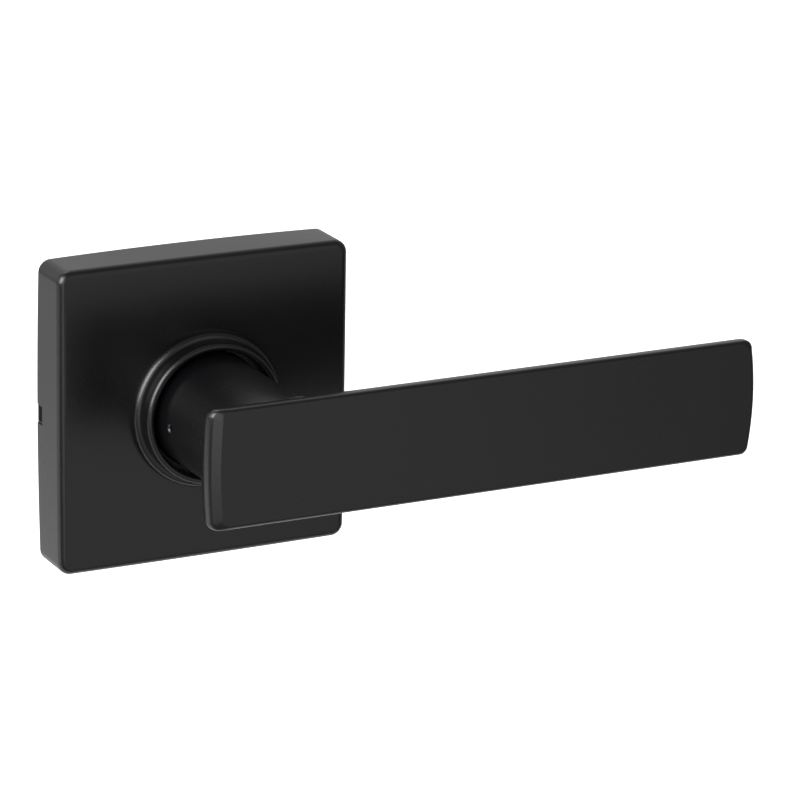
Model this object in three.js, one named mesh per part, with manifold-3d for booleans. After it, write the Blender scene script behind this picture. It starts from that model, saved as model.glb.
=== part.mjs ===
// A door lever handle on a square rose: the inside half of a tubular latch set, with its return spring,
// its keyed drive and the sprung catch that holds the lever on. Millimetres.
// The export's frame: the origin is on the door's face at the turning axis, +X runs along the lever, +Z is up
// and the handle stands out of the door along -Y. Every piece is modelled in a turned group in which X runs
// along the lever, Y is up and Z is the distance out of the door, so what is inside the door has negative Z.

import * as THREE from "three";
import { mergeVertices } from "three/addons/utils/BufferGeometryUtils.js";
import Module from "manifold-3d";

const wasm = await Module();
wasm.setup();

// ---- Driving dimensions ----

// Fits
const GAP = 0.3; // between pieces that touch or turn in each other
const STOP_GAP = 0.35; // left between the driver's ear and a stop at full turn
const JOIN_OVERLAP = 0.5; // how far two shapes of one piece run into each other

// Lever
const LEVER_PROJECTION = 52; // door face to the bar's front face
const BAR_REACH = 112; // turning axis to the free end
const BAR_HEEL = 17.1; // turning axis to the end over the neck
const BAR_HEIGHT = 26;
const BAR_DEPTH = 8.5;
const BAR_BACK_FLAT = 10; // height of the flat left along the middle of the rounded back
const BAR_CORNER = 2.3;
const BAR_EDGE = 1; // fillet round the front face
const BAR_RIM = 1.3; // depth of the bar's full-height rim, before its back rounds off
const BAR_END_BOW = 0.85;
const BAR_END_ROUNDING = 4;
const HEEL_BEVEL_LENGTH = 1.85;
const HEEL_BEVEL_DEPTH = 0.85;
const HEEL_NOSE = 0.75;
const HEEL_NOSE_DEPTH = 1.4;
const HEEL_ROUNDING = 5;
const NECK_RADIUS = 12.75;
const NECK_FLARE_START = 30;
const NECK_FLARE_LENGTH = 14;
const NECK_FLARE_HEEL = 1.5;
const NECK_FLARE_REACH = 3;
const RELEASE_HOLE_RADIUS = 0.75;

// Rose
const ROSE_SIDE = 67;
const ROSE_DEPTH = 11.5;
const ROSE_WALL = 1.5;
const ROSE_CORNER = 2.8;
const ROSE_EDGE = 1.55;
const ROSE_BOW = 0.4; // how far each side wall swells at its middle, at the door
const SHARPEST_CORNER = 0.4; // what a corner keeps where an inset would take it away
const COLLAR_STEP_RADIUS = 17.2;
const COLLAR_STEP_HEIGHT = 2.2;
const COLLAR_STEP_EDGE = 1.3; // rounding of the step's outer edge
const COLLAR_RADIUS = 15.6;
const COLLAR_HEIGHT = 5.3;
const COLLAR_EDGE = 0.8; // rounding of the collar's outer edge
const COLLAR_OVERLAP = 0.1; // how far the collar starts behind the plate's inner face
const COLLAR_BORE_GAP = 1.85; // the dark gap between the collar and the neck
const BUSH_RISE = 0.7; // how far the bush stands into the collar
const PRY_SLOT_HEIGHT = 4.9;
const PRY_SLOT_DEPTH = 2.7;
const PRY_TAB_DEPTH = 2; // the liner's tab, which leaves a tool's width in front of it
const PRY_TAB_RECESS = 0.25; // tab to the outer face of the wall

// Mounting plate and what holds it
const PLATE_THICKNESS = 2;
const LINER_WALL = 1.95; // the liner at its thinnest, between the rose and the plate's lugs
const LUG_THICKNESS = 1.2;
const LUG_LENGTH = 6.2;
const LUG_HALF_ANGLE = 11;
const LUG_DIMPLE = 0.5;
const DIMPLE_FLATNESS = 0.6; // height over width of a dimple, along its lug
const SCREW_CLEARANCE = 0.8; // between the cage and the screw heads: the screws are 35 apart
const SCREW_RADIUS = 2;
const SCREW_LENGTH = 28;
const SCREW_HEAD_RADIUS = 3.6;
const SCREW_HEAD_HEIGHT = 2.4;
const RIVET_RADIUS = 1.2;
const RIVET_HEAD_RADIUS = 2.3;
const RIVET_HEAD_HEIGHT = 0.9;
const RIVET_TAIL_RADIUS = 2; // the end set over behind the plate
const RIVET_TAIL_HEIGHT = 0.6;
const RIVET_CLEARANCE = 1; // between the spring's anchor and the rivet heads
const DIMPLE_SHARE = 0.6; // how far up its lug each dimple sits
const SCREW_POINT = 1; // chamfer at the screw's tip
const RECESS_LENGTH = 4; // the cross recess in the screw's head
const RECESS_WIDTH = 1;
const RECESS_DEPTH = 1.4;

// Drive
const SLEEVE_RADIUS = 7.6;
const SLEEVE_FLAT = 6.4; // turning axis to each of the two flats
const SLEEVE_BORE = 5.8;
const SLEEVE_FRONT = 34;
const SLEEVE_BACK = -10.5;
const SPINDLE_SIDE = 7;
const SPINDLE_REACH = 45; // how far the spindle stands into the door
const SPINDLE_FRONT = 15.2;
const SPINDLE_CORNER = 0.5;
const SPINDLE_CHAMFER = 0.8;
const PIN_INSET = 0.1; // how far the cross pin's ends sit inside the sleeve's surface
const PIN_RADIUS = 1.2;
const BEARING_WALL = 1.4;
const BEARING_FRONT = 7.2;
const BEARING_BACK = -3.2;
const BEARING_FLANGE = 2.7; // how far the flange stands out
const FLANGE_THICKNESS = 1.2;
const WASHER_THICKNESS = 0.6;
const WAVE_THICKNESS = 0.3;
const WAVE_HEIGHT = 0.25;
const RING_THICKNESS = 0.8;
const RING_SEAT = 1; // depth of the groove that the retaining ring sits in
const RING_RADIUS = 9.4;
const DRIVER_THICKNESS = 1.2;

// Return spring and its cage
const TURN_LIMIT = 45; // degrees each way
const SPRING_WIRE = 1.5;
const SPRING_COILS = 2;
const SPRING_CLEARANCE = 0.45; // between the coil and what it winds round
const TURNING_CLEARANCE = 0.4; // round the driver and its tang
const CAGE_WALL = 1;
const CAGE_FLOOR = 0.8;
const EAR_WIDTH = 3;
const TANG_THICKNESS = 1.2;
const ANCHOR_THICKNESS = 1.3;

// Catch
const CATCH_HEIGHT = 21.7; // door face to the catch's centre line
const CATCH_NOSE = 3;
const CATCH_BODY = 5;
const CATCH_TRAVEL = 1.8;
const CATCH_SHOULDER = 1.6;
const CATCH_ROOT = 0.5; // how far the nose runs into the body behind it
const CATCH_WIRE = 0.6;
const CATCH_COILS = 5;

// ---- Derived sizes ----

const SOCKET_RADIUS = SLEEVE_RADIUS + GAP;
const SOCKET_FLAT = SLEEVE_FLAT + GAP;
const BEARING_BORE = SLEEVE_RADIUS + GAP;
const BEARING_RADIUS = BEARING_BORE + BEARING_WALL;
const COIL_RADIUS = BEARING_RADIUS + SPRING_CLEARANCE + SPRING_WIRE / 2;
const DRIVER_RADIUS = COIL_RADIUS + SPRING_WIRE / 2 + SPRING_CLEARANCE;
const CAGE_INNER = DRIVER_RADIUS + TURNING_CLEARANCE;
const CAGE_OUTER = CAGE_INNER + CAGE_WALL;
const TANG_INNER = CAGE_INNER + GAP;
const TANG_OUTER = TANG_INNER + TANG_THICKNESS;
const ANCHOR_INNER = TANG_OUTER + TURNING_CLEARANCE;
const ANCHOR_OUTER = ANCHOR_INNER + ANCHOR_THICKNESS;
const SCREW_OFFSET = CAGE_OUTER + SCREW_CLEARANCE + SCREW_HEAD_RADIUS;
const RIVET_OFFSET = ANCHOR_OUTER + RIVET_CLEARANCE + RIVET_HEAD_RADIUS;
const LINER_OPENING = ROSE_SIDE / 2 - ROSE_WALL - GAP - LINER_WALL;
const PLATE_RADIUS = LINER_OPENING - 2 * GAP;
const DIMPLE_HEIGHT = PLATE_THICKNESS + LUG_LENGTH * DIMPLE_SHARE;
const THRUST_BACK = BEARING_FRONT + GAP;
const DRIVER_BACK = THRUST_BACK + WASHER_THICKNESS + GAP;
const DRIVER_FRONT = DRIVER_BACK + DRIVER_THICKNESS;
const NECK_END = DRIVER_FRONT + GAP;
const ROSE_INSIDE = ROSE_DEPTH - ROSE_WALL;
const COLLAR_BORE = NECK_RADIUS + COLLAR_BORE_GAP;
const CAGE_BACK = PLATE_THICKNESS + GAP;
const RING_FRONT = BEARING_BACK - 4 * GAP;
const SLEEVE_SHOULDER = DRIVER_BACK - GAP;
const CATCH_TIP = SLEEVE_RADIUS + CATCH_TRAVEL;
const CATCH_REST = Math.sqrt(SLEEVE_BORE ** 2 - (CATCH_BODY / 2) ** 2) - GAP;
const FINE_SIDES = 56;
const degrees = THREE.MathUtils.degToRad;

// ---- Shapes ----

// A closed mesh as a solid that can be cut and joined.
function toSolid(geometry) {
  const bare = geometry.clone();
  bare.deleteAttribute("normal");
  bare.deleteAttribute("uv");
  const merged = mergeVertices(bare, 1e-4);
  return new wasm.Manifold(
    new wasm.Mesh({
      numProp: 3,
      vertProperties: new Float32Array(merged.attributes.position.array),
      triVerts: new Uint32Array(merged.index.array),
    }),
  );
}

function toGeometry(solid) {
  const mesh = solid.getMesh();
  const geometry = new THREE.BufferGeometry();
  geometry.setAttribute("position", new THREE.BufferAttribute(mesh.vertProperties, 3));
  geometry.setIndex(new THREE.BufferAttribute(mesh.triVerts, 1));
  geometry.computeVertexNormals();
  return geometry;
}

function join(...geometries) {
  return toGeometry(geometries.map(toSolid).reduce((all, one) => all.add(one)));
}

function cut(body, ...tools) {
  return toGeometry(tools.map(toSolid).reduce((rest, tool) => rest.subtract(tool), toSolid(body)));
}

// A profile of [radius, z] pairs turned round the Z axis. It starts and ends on the axis or closes on itself,
// and runs so that its outer wall goes up.
function turned(profile, sides = 40) {
  const points = profile.map(([radius, z]) => new THREE.Vector2(radius, z));
  return new THREE.LatheGeometry(points, sides).rotateX(Math.PI / 2);
}

function ring(inner, outer, back, front, sides = 40) {
  const profile = [
    [inner, back],
    [outer, back],
    [outer, front],
    [inner, front],
    [inner, back],
  ];
  return turned(profile, sides);
}

function disc(radius, back, front, sides = 32) {
  return new THREE.CylinderGeometry(radius, radius, front - back, sides)
    .rotateX(Math.PI / 2)
    .translate(0, 0, (back + front) / 2);
}

function box(xRange, yRange, zRange) {
  const size = [xRange, yRange, zRange].map(([low, high]) => high - low);
  const middle = [xRange, yRange, zRange].map(([low, high]) => (low + high) / 2);
  return new THREE.BoxGeometry(...size).translate(...middle);
}

function plate(shape, back, front, curveSegments = 12) {
  const options = { depth: front - back, bevelEnabled: false, curveSegments };
  return new THREE.ExtrudeGeometry(shape, options).translate(0, 0, back);
}

// A sector of a ring, between two angles in degrees.
function arcPlate(inner, outer, startAngle, endAngle, back, front) {
  const shape = new THREE.Shape();
  shape.absarc(0, 0, outer, degrees(startAngle), degrees(endAngle), false);
  shape.absarc(0, 0, inner, degrees(endAngle), degrees(startAngle), true);
  shape.closePath();
  return plate(shape, back, front, Math.ceil((endAngle - startAngle) / 8));
}

// A round bar with two flats, along Z: what the sleeve drives the lever with, and the holes that fit it.
function doubleFlat(radius, flat, back, front) {
  const corner = Math.asin(flat / radius);
  const shape = new THREE.Shape();
  shape.absarc(0, 0, radius, -corner, corner, false);
  shape.absarc(0, 0, radius, Math.PI - corner, Math.PI + corner, false);
  shape.closePath();
  return plate(shape, back, front, 10);
}

// A rounded rectangle whose sides may swell outwards, as a list of points. Every call gives as many points.
function roundedOutline({ left, right, bottom, top, corner, bow = {} }) {
  const cornerSteps = 4;
  const sideSteps = 6;
  const points = [];
  const centres = [
    [right - corner, bottom + corner, -90],
    [right - corner, top - corner, 0],
    [left + corner, top - corner, 90],
    [left + corner, bottom + corner, 180],
  ];
  const swell = [
    [bow.right ?? 0, 0],
    [0, bow.top ?? 0],
    [-(bow.left ?? 0), 0],
    [0, -(bow.bottom ?? 0)],
  ];
  centres.forEach(([x, y, start], index) => {
    for (let step = 0; step <= cornerSteps; step++) {
      const angle = degrees(start + (90 * step) / cornerSteps);
      points.push(new THREE.Vector2(x + corner * Math.cos(angle), y + corner * Math.sin(angle)));
    }
    const from = points[points.length - 1].clone();
    const [nextX, nextY, nextStart] = centres[(index + 1) % 4];
    const nextAngle = degrees(nextStart);
    const to = new THREE.Vector2(
      nextX + corner * Math.cos(nextAngle),
      nextY + corner * Math.sin(nextAngle),
    );
    for (let step = 1; step < sideSteps; step++) {
      const share = step / sideSteps;
      const rise = 4 * share * (1 - share);
      const [swellX, swellY] = swell[index];
      points.push(from.clone().lerp(to, share).add(new THREE.Vector2(swellX * rise, swellY * rise)));
    }
  });
  return points;
}

// A solid through outlines of equally many points, each { z, points }, from the lowest z to the highest.
function loft(outlines) {
  const count = outlines[0].points.length;
  const positions = outlines.flatMap(({ z, points }) => points.flatMap((point) => [point.x, point.y, z]));
  const faces = [];
  for (let level = 0; level < outlines.length - 1; level++) {
    for (let i = 0; i < count; i++) {
      const next = (i + 1) % count;
      const [a, b] = [level * count + i, level * count + next];
      faces.push(a, b, b + count, a, b + count, a + count);
    }
  }
  const last = (outlines.length - 1) * count;
  for (const [a, b, c] of THREE.ShapeUtils.triangulateShape(outlines[0].points, [])) {
    faces.push(c, b, a);
  }
  for (const [a, b, c] of THREE.ShapeUtils.triangulateShape(outlines.at(-1).points, [])) {
    faces.push(last + a, last + b, last + c);
  }
  const geometry = new THREE.BufferGeometry();
  geometry.setAttribute("position", new THREE.Float32BufferAttribute(positions, 3));
  geometry.setIndex(faces);
  return geometry;
}

// Round wire along a list of points.
function wire(points, diameter, steps) {
  const section = new THREE.Shape().absarc(0, 0, diameter / 2, 0, 2 * Math.PI, false);
  const path = new THREE.CatmullRomCurve3(points);
  const options = { steps, extrudePath: path, bevelEnabled: false, curveSegments: 4 };
  return new THREE.ExtrudeGeometry(section, options);
}

// ---- Rose ----

function squareOutline(inset, bow) {
  const half = ROSE_SIDE / 2 - inset;
  const corner = Math.max(ROSE_CORNER - inset, SHARPEST_CORNER);
  const sides = { left: bow, right: bow, top: bow, bottom: bow };
  return roundedOutline({ left: -half, right: half, bottom: -half, top: half, corner, bow: sides });
}

function prySlot() {
  return box([-ROSE_SIDE, -LINER_OPENING], [-PRY_SLOT_HEIGHT / 2, PRY_SLOT_HEIGHT / 2], [-1, PRY_SLOT_DEPTH]);
}

// The profile of an outer edge rounded by a quarter circle, from its wall to its front, as [radius, z] pairs.
function roundedEdge(radius, front, rounding, steps = 4) {
  const points = [];
  for (let step = 0; step <= steps; step++) {
    const angle = (Math.PI / 2) * (step / steps);
    points.push([
      radius - rounding * (1 - Math.cos(angle)),
      front - rounding * (1 - Math.sin(angle)),
    ]);
  }
  return points;
}

function roseGeometry() {
  const edgeStart = ROSE_DEPTH - ROSE_EDGE;
  const outlines = [
    { z: 0, points: squareOutline(0, ROSE_BOW) },
    { z: edgeStart, points: squareOutline(0, ROSE_BOW / 4) },
  ];
  for (const angle of [22.5, 45, 67.5, 90]) {
    const inset = ROSE_EDGE * (1 - Math.cos(degrees(angle)));
    const z = edgeStart + ROSE_EDGE * Math.sin(degrees(angle));
    outlines.push({ z, points: squareOutline(inset, ROSE_BOW / 4) });
  }
  const inside = loft([
    { z: -1, points: squareOutline(ROSE_WALL, ROSE_BOW) },
    { z: ROSE_INSIDE, points: squareOutline(ROSE_WALL, 0) },
  ]);
  const step = ROSE_DEPTH + COLLAR_STEP_HEIGHT;
  const top = ROSE_DEPTH + COLLAR_HEIGHT;
  const root = ROSE_INSIDE + COLLAR_OVERLAP;
  const collar = turned([
    [0, root],
    [COLLAR_STEP_RADIUS, root],
    ...roundedEdge(COLLAR_STEP_RADIUS, step, COLLAR_STEP_EDGE),
    [COLLAR_RADIUS, step],
    ...roundedEdge(COLLAR_RADIUS, top, COLLAR_EDGE),
    [0, top],
  ], FINE_SIDES);
  const bore = disc(COLLAR_BORE, 0, top + 1, FINE_SIDES);
  return cut(join(cut(loft(outlines), inside), collar), bore, prySlot());
}

function linerGeometry() {
  const back = 2 * GAP;
  const front = ROSE_INSIDE - GAP;
  const inset = ROSE_WALL + GAP;
  const body = loft([
    { z: back, points: squareOutline(inset, 0) },
    { z: front, points: squareOutline(inset, 0) },
  ]);
  const opening = disc(LINER_OPENING, 0, ROSE_DEPTH, FINE_SIDES);
  const grooveHalf = 3 * GAP;
  const grooveRadius = PLATE_RADIUS + LUG_DIMPLE + 2 * GAP;
  const groove = disc(grooveRadius, DIMPLE_HEIGHT - grooveHalf, DIMPLE_HEIGHT + grooveHalf, FINE_SIDES);
  const holeRadius = ROSE_CORNER;
  const holeDistance = (PLATE_RADIUS + (ROSE_SIDE / 2 - inset) * Math.SQRT2) / 2;
  const holes = [45, 135, 225, 315].map((angle) =>
    disc(holeRadius, 0, ROSE_DEPTH, 20).translate(
      holeDistance * Math.cos(degrees(angle)),
      holeDistance * Math.sin(degrees(angle)),
      0,
    ),
  );
  return cut(join(body, pryTab()), opening, groove, ...holes);
}

// The liner's tab, which stands in the rose's pry slot.
function pryTab() {
  const half = PRY_SLOT_HEIGHT / 2 - GAP;
  const face = -(ROSE_SIDE / 2 + ROSE_BOW - PRY_TAB_RECESS);
  return box([face, -LINER_OPENING], [-half, half], [0, PRY_TAB_DEPTH]);
}

function collarBushGeometry() {
  return ring(NECK_RADIUS + GAP, COLLAR_BORE - GAP, DRIVER_FRONT + GAP, ROSE_DEPTH + BUSH_RISE);
}

// ---- Mounting plate ----

function mountingPlateGeometry() {
  const lugInner = PLATE_RADIUS - LUG_THICKNESS;
  const lugFront = PLATE_THICKNESS + LUG_LENGTH;
  const parts = [disc(PLATE_RADIUS, 0, PLATE_THICKNESS, FINE_SIDES)];
  for (const angle of [45, 135, 225, 315]) {
    const [low, high] = [angle - LUG_HALF_ANGLE, angle + LUG_HALF_ANGLE];
    parts.push(arcPlate(lugInner, PLATE_RADIUS, low, high, PLATE_THICKNESS / 2, lugFront));
    const along = degrees(angle);
    const dimple = new THREE.SphereGeometry(LUG_THICKNESS, 8, 6)
      .scale(1, 1, DIMPLE_FLATNESS)
      .translate(PLATE_RADIUS + LUG_DIMPLE - LUG_THICKNESS, 0, DIMPLE_HEIGHT)
      .rotateZ(along);
    parts.push(dimple);
  }
  const holes = [disc(BEARING_RADIUS + GAP, -1, lugFront, 40)];
  for (const side of [-1, 1]) {
    holes.push(disc(SCREW_RADIUS + 2 * GAP, -1, lugFront, 20).translate(side * SCREW_OFFSET, 0, 0));
    holes.push(disc(RIVET_RADIUS + GAP, -1, lugFront, 16).translate(0, side * RIVET_OFFSET, 0));
  }
  return cut(join(...parts), ...holes);
}

function screwGeometry() {
  const seat = PLATE_THICKNESS + GAP;
  const tip = seat - SCREW_LENGTH;
  const crown = seat + SCREW_HEAD_HEIGHT;
  const rounding = SCREW_HEAD_HEIGHT / 2;
  const body = turned([
    [0, tip],
    [SCREW_RADIUS - SCREW_POINT, tip],
    [SCREW_RADIUS, tip + SCREW_POINT],
    [SCREW_RADIUS, seat],
    [SCREW_HEAD_RADIUS, seat],
    ...roundedEdge(SCREW_HEAD_RADIUS, crown, rounding, 3),
    [0, crown],
  ], 24);
  const long = RECESS_LENGTH / 2;
  const thin = RECESS_WIDTH / 2;
  const recess = [crown - RECESS_DEPTH, crown + 1];
  return cut(body, box([-long, long], [-thin, thin], recess), box([-thin, thin], [-long, long], recess));
}

function rivetGeometry() {
  const front = CAGE_BACK + CAGE_FLOOR + GAP;
  const crown = front + RIVET_HEAD_HEIGHT;
  return turned([
    [0, -GAP - RIVET_TAIL_HEIGHT],
    [RIVET_TAIL_RADIUS, -GAP - RIVET_TAIL_HEIGHT],
    [RIVET_TAIL_RADIUS, -GAP],
    [RIVET_RADIUS, -GAP],
    [RIVET_RADIUS, front],
    [RIVET_HEAD_RADIUS, front],
    ...roundedEdge(RIVET_HEAD_RADIUS, crown, RIVET_HEAD_HEIGHT, 3).slice(1),
    [0, crown],
  ], 20);
}

// ---- Drive ----

function bearingGeometry() {
  const flangeFront = -GAP;
  const flangeBack = flangeFront - FLANGE_THICKNESS;
  return turned([
    [BEARING_BORE, BEARING_BACK],
    [BEARING_RADIUS, BEARING_BACK],
    [BEARING_RADIUS, flangeBack],
    [BEARING_RADIUS + BEARING_FLANGE, flangeBack],
    [BEARING_RADIUS + BEARING_FLANGE, flangeFront],
    [BEARING_RADIUS, flangeFront],
    [BEARING_RADIUS, BEARING_FRONT],
    [BEARING_BORE, BEARING_FRONT],
    [BEARING_BORE, BEARING_BACK],
  ]);
}

function sleeveGeometry() {
  const round = disc(SLEEVE_RADIUS, SLEEVE_BACK, SLEEVE_SHOULDER, 40);
  const keyed = doubleFlat(SLEEVE_RADIUS, SLEEVE_FLAT, SLEEVE_SHOULDER - JOIN_OVERLAP, SLEEVE_FRONT);
  const square = SPINDLE_SIDE / 2 + GAP;
  const squareHole = box([-square, square], [-square, square], [SLEEVE_BACK - 1, SPINDLE_FRONT + GAP]);
  const bore = disc(SLEEVE_BORE, SPINDLE_FRONT + GAP / 2, SLEEVE_FRONT + 1, 40);
  const grooveBack = RING_FRONT - RING_THICKNESS - GAP;
  const groove = ring(SLEEVE_RADIUS - RING_SEAT, SLEEVE_RADIUS + 1, grooveBack, RING_FRONT + GAP);
  const nose = CATCH_NOSE / 2 + GAP;
  const catchSlot = box([-SLEEVE_RADIUS - 1, 0], [-nose, nose], [CATCH_HEIGHT - nose, CATCH_HEIGHT + nose]);
  return cut(join(round, keyed), squareHole, bore, groove, catchSlot, crossHole(SLEEVE_RADIUS + 1));
}

// The cross pin's hole, up and down through the sleeve and the spindle.
function crossHole(halfLength) {
  return new THREE.CylinderGeometry(PIN_RADIUS + GAP, PIN_RADIUS + GAP, 2 * halfLength, 20).translate(
    0,
    0,
    pinHeight(),
  );
}

function pinHeight() {
  const ringBack = RING_FRONT - RING_THICKNESS;
  return (ringBack + SLEEVE_BACK) / 2;
}

function spindlePinGeometry() {
  const halfLength = SLEEVE_RADIUS - PIN_INSET;
  return new THREE.CylinderGeometry(PIN_RADIUS, PIN_RADIUS, 2 * halfLength, 20).translate(0, 0, pinHeight());
}

function spindleGeometry() {
  const half = SPINDLE_SIDE / 2;
  const side = (inset) => {
    const reach = half - inset;
    return roundedOutline({ left: -reach, right: reach, bottom: -reach, top: reach, corner: SPINDLE_CORNER });
  };
  const bar = loft([
    { z: -SPINDLE_REACH, points: side(SPINDLE_CHAMFER) },
    { z: -SPINDLE_REACH + SPINDLE_CHAMFER, points: side(0) },
    { z: SPINDLE_FRONT, points: side(0) },
  ]);
  return cut(bar, crossHole(SPINDLE_SIDE));
}

function waveWasherGeometry() {
  const middle = (BEARING_BACK + RING_FRONT) / 2;
  const half = WAVE_THICKNESS / 2;
  const washer = ring(SLEEVE_RADIUS + GAP, BEARING_RADIUS, middle - half, middle + half);
  const position = washer.getAttribute("position");
  for (let i = 0; i < position.count; i++) {
    const angle = Math.atan2(position.getY(i), position.getX(i));
    position.setZ(i, position.getZ(i) + WAVE_HEIGHT * Math.cos(3 * angle));
  }
  return washer;
}

function retainingRingGeometry() {
  const inner = SLEEVE_RADIUS - RING_SEAT + GAP;
  return arcPlate(inner, RING_RADIUS, -65, 245, RING_FRONT - RING_THICKNESS, RING_FRONT);
}

// ---- Return spring ----

// Half the angle that a width takes up at a radius, in degrees.
function halfAngle(width, radius) {
  return THREE.MathUtils.radToDeg(width / 2 / radius);
}

const EAR_HALF = halfAngle(EAR_WIDTH, CAGE_INNER);
const STOP_ANGLE = TURN_LIMIT + EAR_HALF + halfAngle(2 * STOP_GAP, CAGE_INNER);
const LEG_ANGLE = EAR_HALF + halfAngle(SPRING_WIRE + 2 * GAP, CAGE_INNER);
const SWEEP_ANGLE = TURN_LIMIT + EAR_HALF + 2 * halfAngle(SPRING_WIRE + 2 * GAP, CAGE_INNER);

function cageGeometry() {
  const floorFront = CAGE_BACK + CAGE_FLOOR;
  const parts = [ring(BEARING_RADIUS + GAP, CAGE_OUTER, CAGE_BACK, floorFront)];
  for (const [low, high] of [
    [-90 + SWEEP_ANGLE, 90 - STOP_ANGLE],
    [90 + STOP_ANGLE, 270 - SWEEP_ANGLE],
  ]) {
    parts.push(arcPlate(CAGE_INNER, CAGE_OUTER, low, high, CAGE_BACK, DRIVER_FRONT));
  }
  const earHalf = RIVET_HEAD_RADIUS + GAP;
  const earEnd = RIVET_OFFSET + earHalf;
  for (const [low, high] of [
    [CAGE_OUTER - JOIN_OVERLAP, earEnd],
    [-earEnd, -CAGE_OUTER + JOIN_OVERLAP],
  ]) {
    parts.push(box([-earHalf, earHalf], [low, high], [CAGE_BACK, floorFront]));
  }
  const anchorFront = DRIVER_BACK - GAP;
  const anchor = halfAngle(EAR_WIDTH, ANCHOR_INNER);
  parts.push(arcPlate(ANCHOR_INNER, ANCHOR_OUTER, 270 - anchor, 270 + anchor, CAGE_BACK, anchorFront));
  const holes = [-1, 1].map((side) =>
    disc(RIVET_RADIUS + GAP, 0, DRIVER_FRONT, 16).translate(0, side * RIVET_OFFSET, 0),
  );
  return cut(join(...parts), ...holes);
}

function driverGeometry() {
  const tangBack = CAGE_BACK + CAGE_FLOOR + GAP;
  const disk = disc(DRIVER_RADIUS, DRIVER_BACK, DRIVER_FRONT, 40);
  const inside = DRIVER_RADIUS - 2 * DRIVER_THICKNESS;
  const stopEar = arcPlate(inside, CAGE_OUTER, 90 - EAR_HALF, 90 + EAR_HALF, DRIVER_BACK, DRIVER_FRONT);
  const arm = arcPlate(inside, TANG_OUTER, 270 - EAR_HALF, 270 + EAR_HALF, DRIVER_BACK, DRIVER_FRONT);
  const tang = arcPlate(TANG_INNER, TANG_OUTER, 270 - EAR_HALF, 270 + EAR_HALF, tangBack, DRIVER_FRONT);
  const keyHole = doubleFlat(SOCKET_RADIUS, SOCKET_FLAT, DRIVER_BACK - 1, DRIVER_FRONT + 1);
  return cut(join(disk, stopEar, arm, tang), keyHole);
}

function returnSpringGeometry() {
  const back = CAGE_BACK + CAGE_FLOOR + GAP + SPRING_WIRE / 2;
  const front = DRIVER_BACK - GAP - SPRING_WIRE / 2;
  const start = degrees(-90 + LEG_ANGLE);
  const sweep = 2 * Math.PI * SPRING_COILS - degrees(2 * LEG_ANGLE);
  const at = (radius, angle, z) =>
    new THREE.Vector3(radius * Math.cos(angle), radius * Math.sin(angle), z);
  const points = [at(ANCHOR_OUTER, start, back), at(CAGE_OUTER, start, back)];
  const coilSteps = 60;
  for (let step = 1; step < coilSteps; step++) {
    const share = step / coilSteps;
    points.push(at(COIL_RADIUS, start + sweep * share, back + (front - back) * share));
  }
  points.push(at(CAGE_OUTER, start + sweep, front), at(ANCHOR_OUTER, start + sweep, front));
  return wire(points, SPRING_WIRE, 96);
}

// ---- Catch ----

function catchGeometry() {
  const nose = CATCH_NOSE / 2;
  const body = CATCH_BODY / 2;
  const [low, high] = [CATCH_HEIGHT - nose, CATCH_HEIGHT + nose];
  const plunger = box([-CATCH_TIP, -CATCH_REST + CATCH_ROOT], [-nose, nose], [low, high]);
  const shoulderRange = [CATCH_HEIGHT - body, CATCH_HEIGHT + body];
  const shoulder = box([-CATCH_REST, -CATCH_REST + CATCH_SHOULDER], [-body, body], shoulderRange);
  return join(plunger, shoulder);
}

function catchSpringGeometry() {
  const from = -CATCH_REST + CATCH_SHOULDER + GAP + CATCH_WIRE / 2;
  const to = SLEEVE_BORE - 2 * GAP - CATCH_WIRE / 2;
  const radius = CATCH_NOSE / 2;
  const points = [];
  const steps = CATCH_COILS * 12;
  for (let step = 0; step <= steps; step++) {
    const share = step / steps;
    const angle = 2 * Math.PI * CATCH_COILS * share;
    const x = from + (to - from) * share;
    points.push(new THREE.Vector3(x, radius * Math.cos(angle), CATCH_HEIGHT + radius * Math.sin(angle)));
  }
  return wire(points, CATCH_WIRE, steps);
}

// ---- Lever ----

// How far the rounded back has drawn in at a depth behind the front face, from 0 at the rim to 1 at the back.
function backRounding(depth) {
  const share = Math.max(0, (depth - BAR_RIM) / (BAR_DEPTH - BAR_RIM));
  return 1 - Math.sqrt(1 - Math.min(1, share) ** 2);
}

// Where the bar's heel end is at a depth behind the front face: bevel, rounded nose, then the rounded back.
function heelAt(depth) {
  const face = BAR_HEEL - HEEL_BEVEL_LENGTH - HEEL_NOSE;
  if (depth <= HEEL_BEVEL_DEPTH) return face + (HEEL_BEVEL_LENGTH * depth) / HEEL_BEVEL_DEPTH;
  const noseEnd = HEEL_BEVEL_DEPTH + HEEL_NOSE_DEPTH;
  if (depth <= noseEnd) {
    const share = (noseEnd - depth) / HEEL_NOSE_DEPTH;
    return BAR_HEEL - HEEL_NOSE * share ** 2;
  }
  const share = (depth - noseEnd) / (BAR_DEPTH - noseEnd);
  return BAR_HEEL - HEEL_ROUNDING * (1 - Math.sqrt(1 - share ** 2));
}

function barOutline(depth) {
  const edge = Math.max(0, BAR_EDGE - depth);
  const inset = BAR_EDGE - Math.sqrt(BAR_EDGE ** 2 - edge ** 2);
  const drawn = backRounding(depth);
  const half = BAR_HEIGHT / 2 - inset - drawn * (BAR_HEIGHT - BAR_BACK_FLAT) * 0.5;
  return {
    z: LEVER_PROJECTION - depth,
    points: roundedOutline({
      left: -heelAt(depth),
      right: BAR_REACH - BAR_END_BOW - inset - drawn * BAR_END_ROUNDING,
      bottom: -half,
      top: half,
      corner: BAR_CORNER,
      bow: { right: BAR_END_BOW, left: BAR_END_BOW / 2 },
    }),
  };
}

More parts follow.
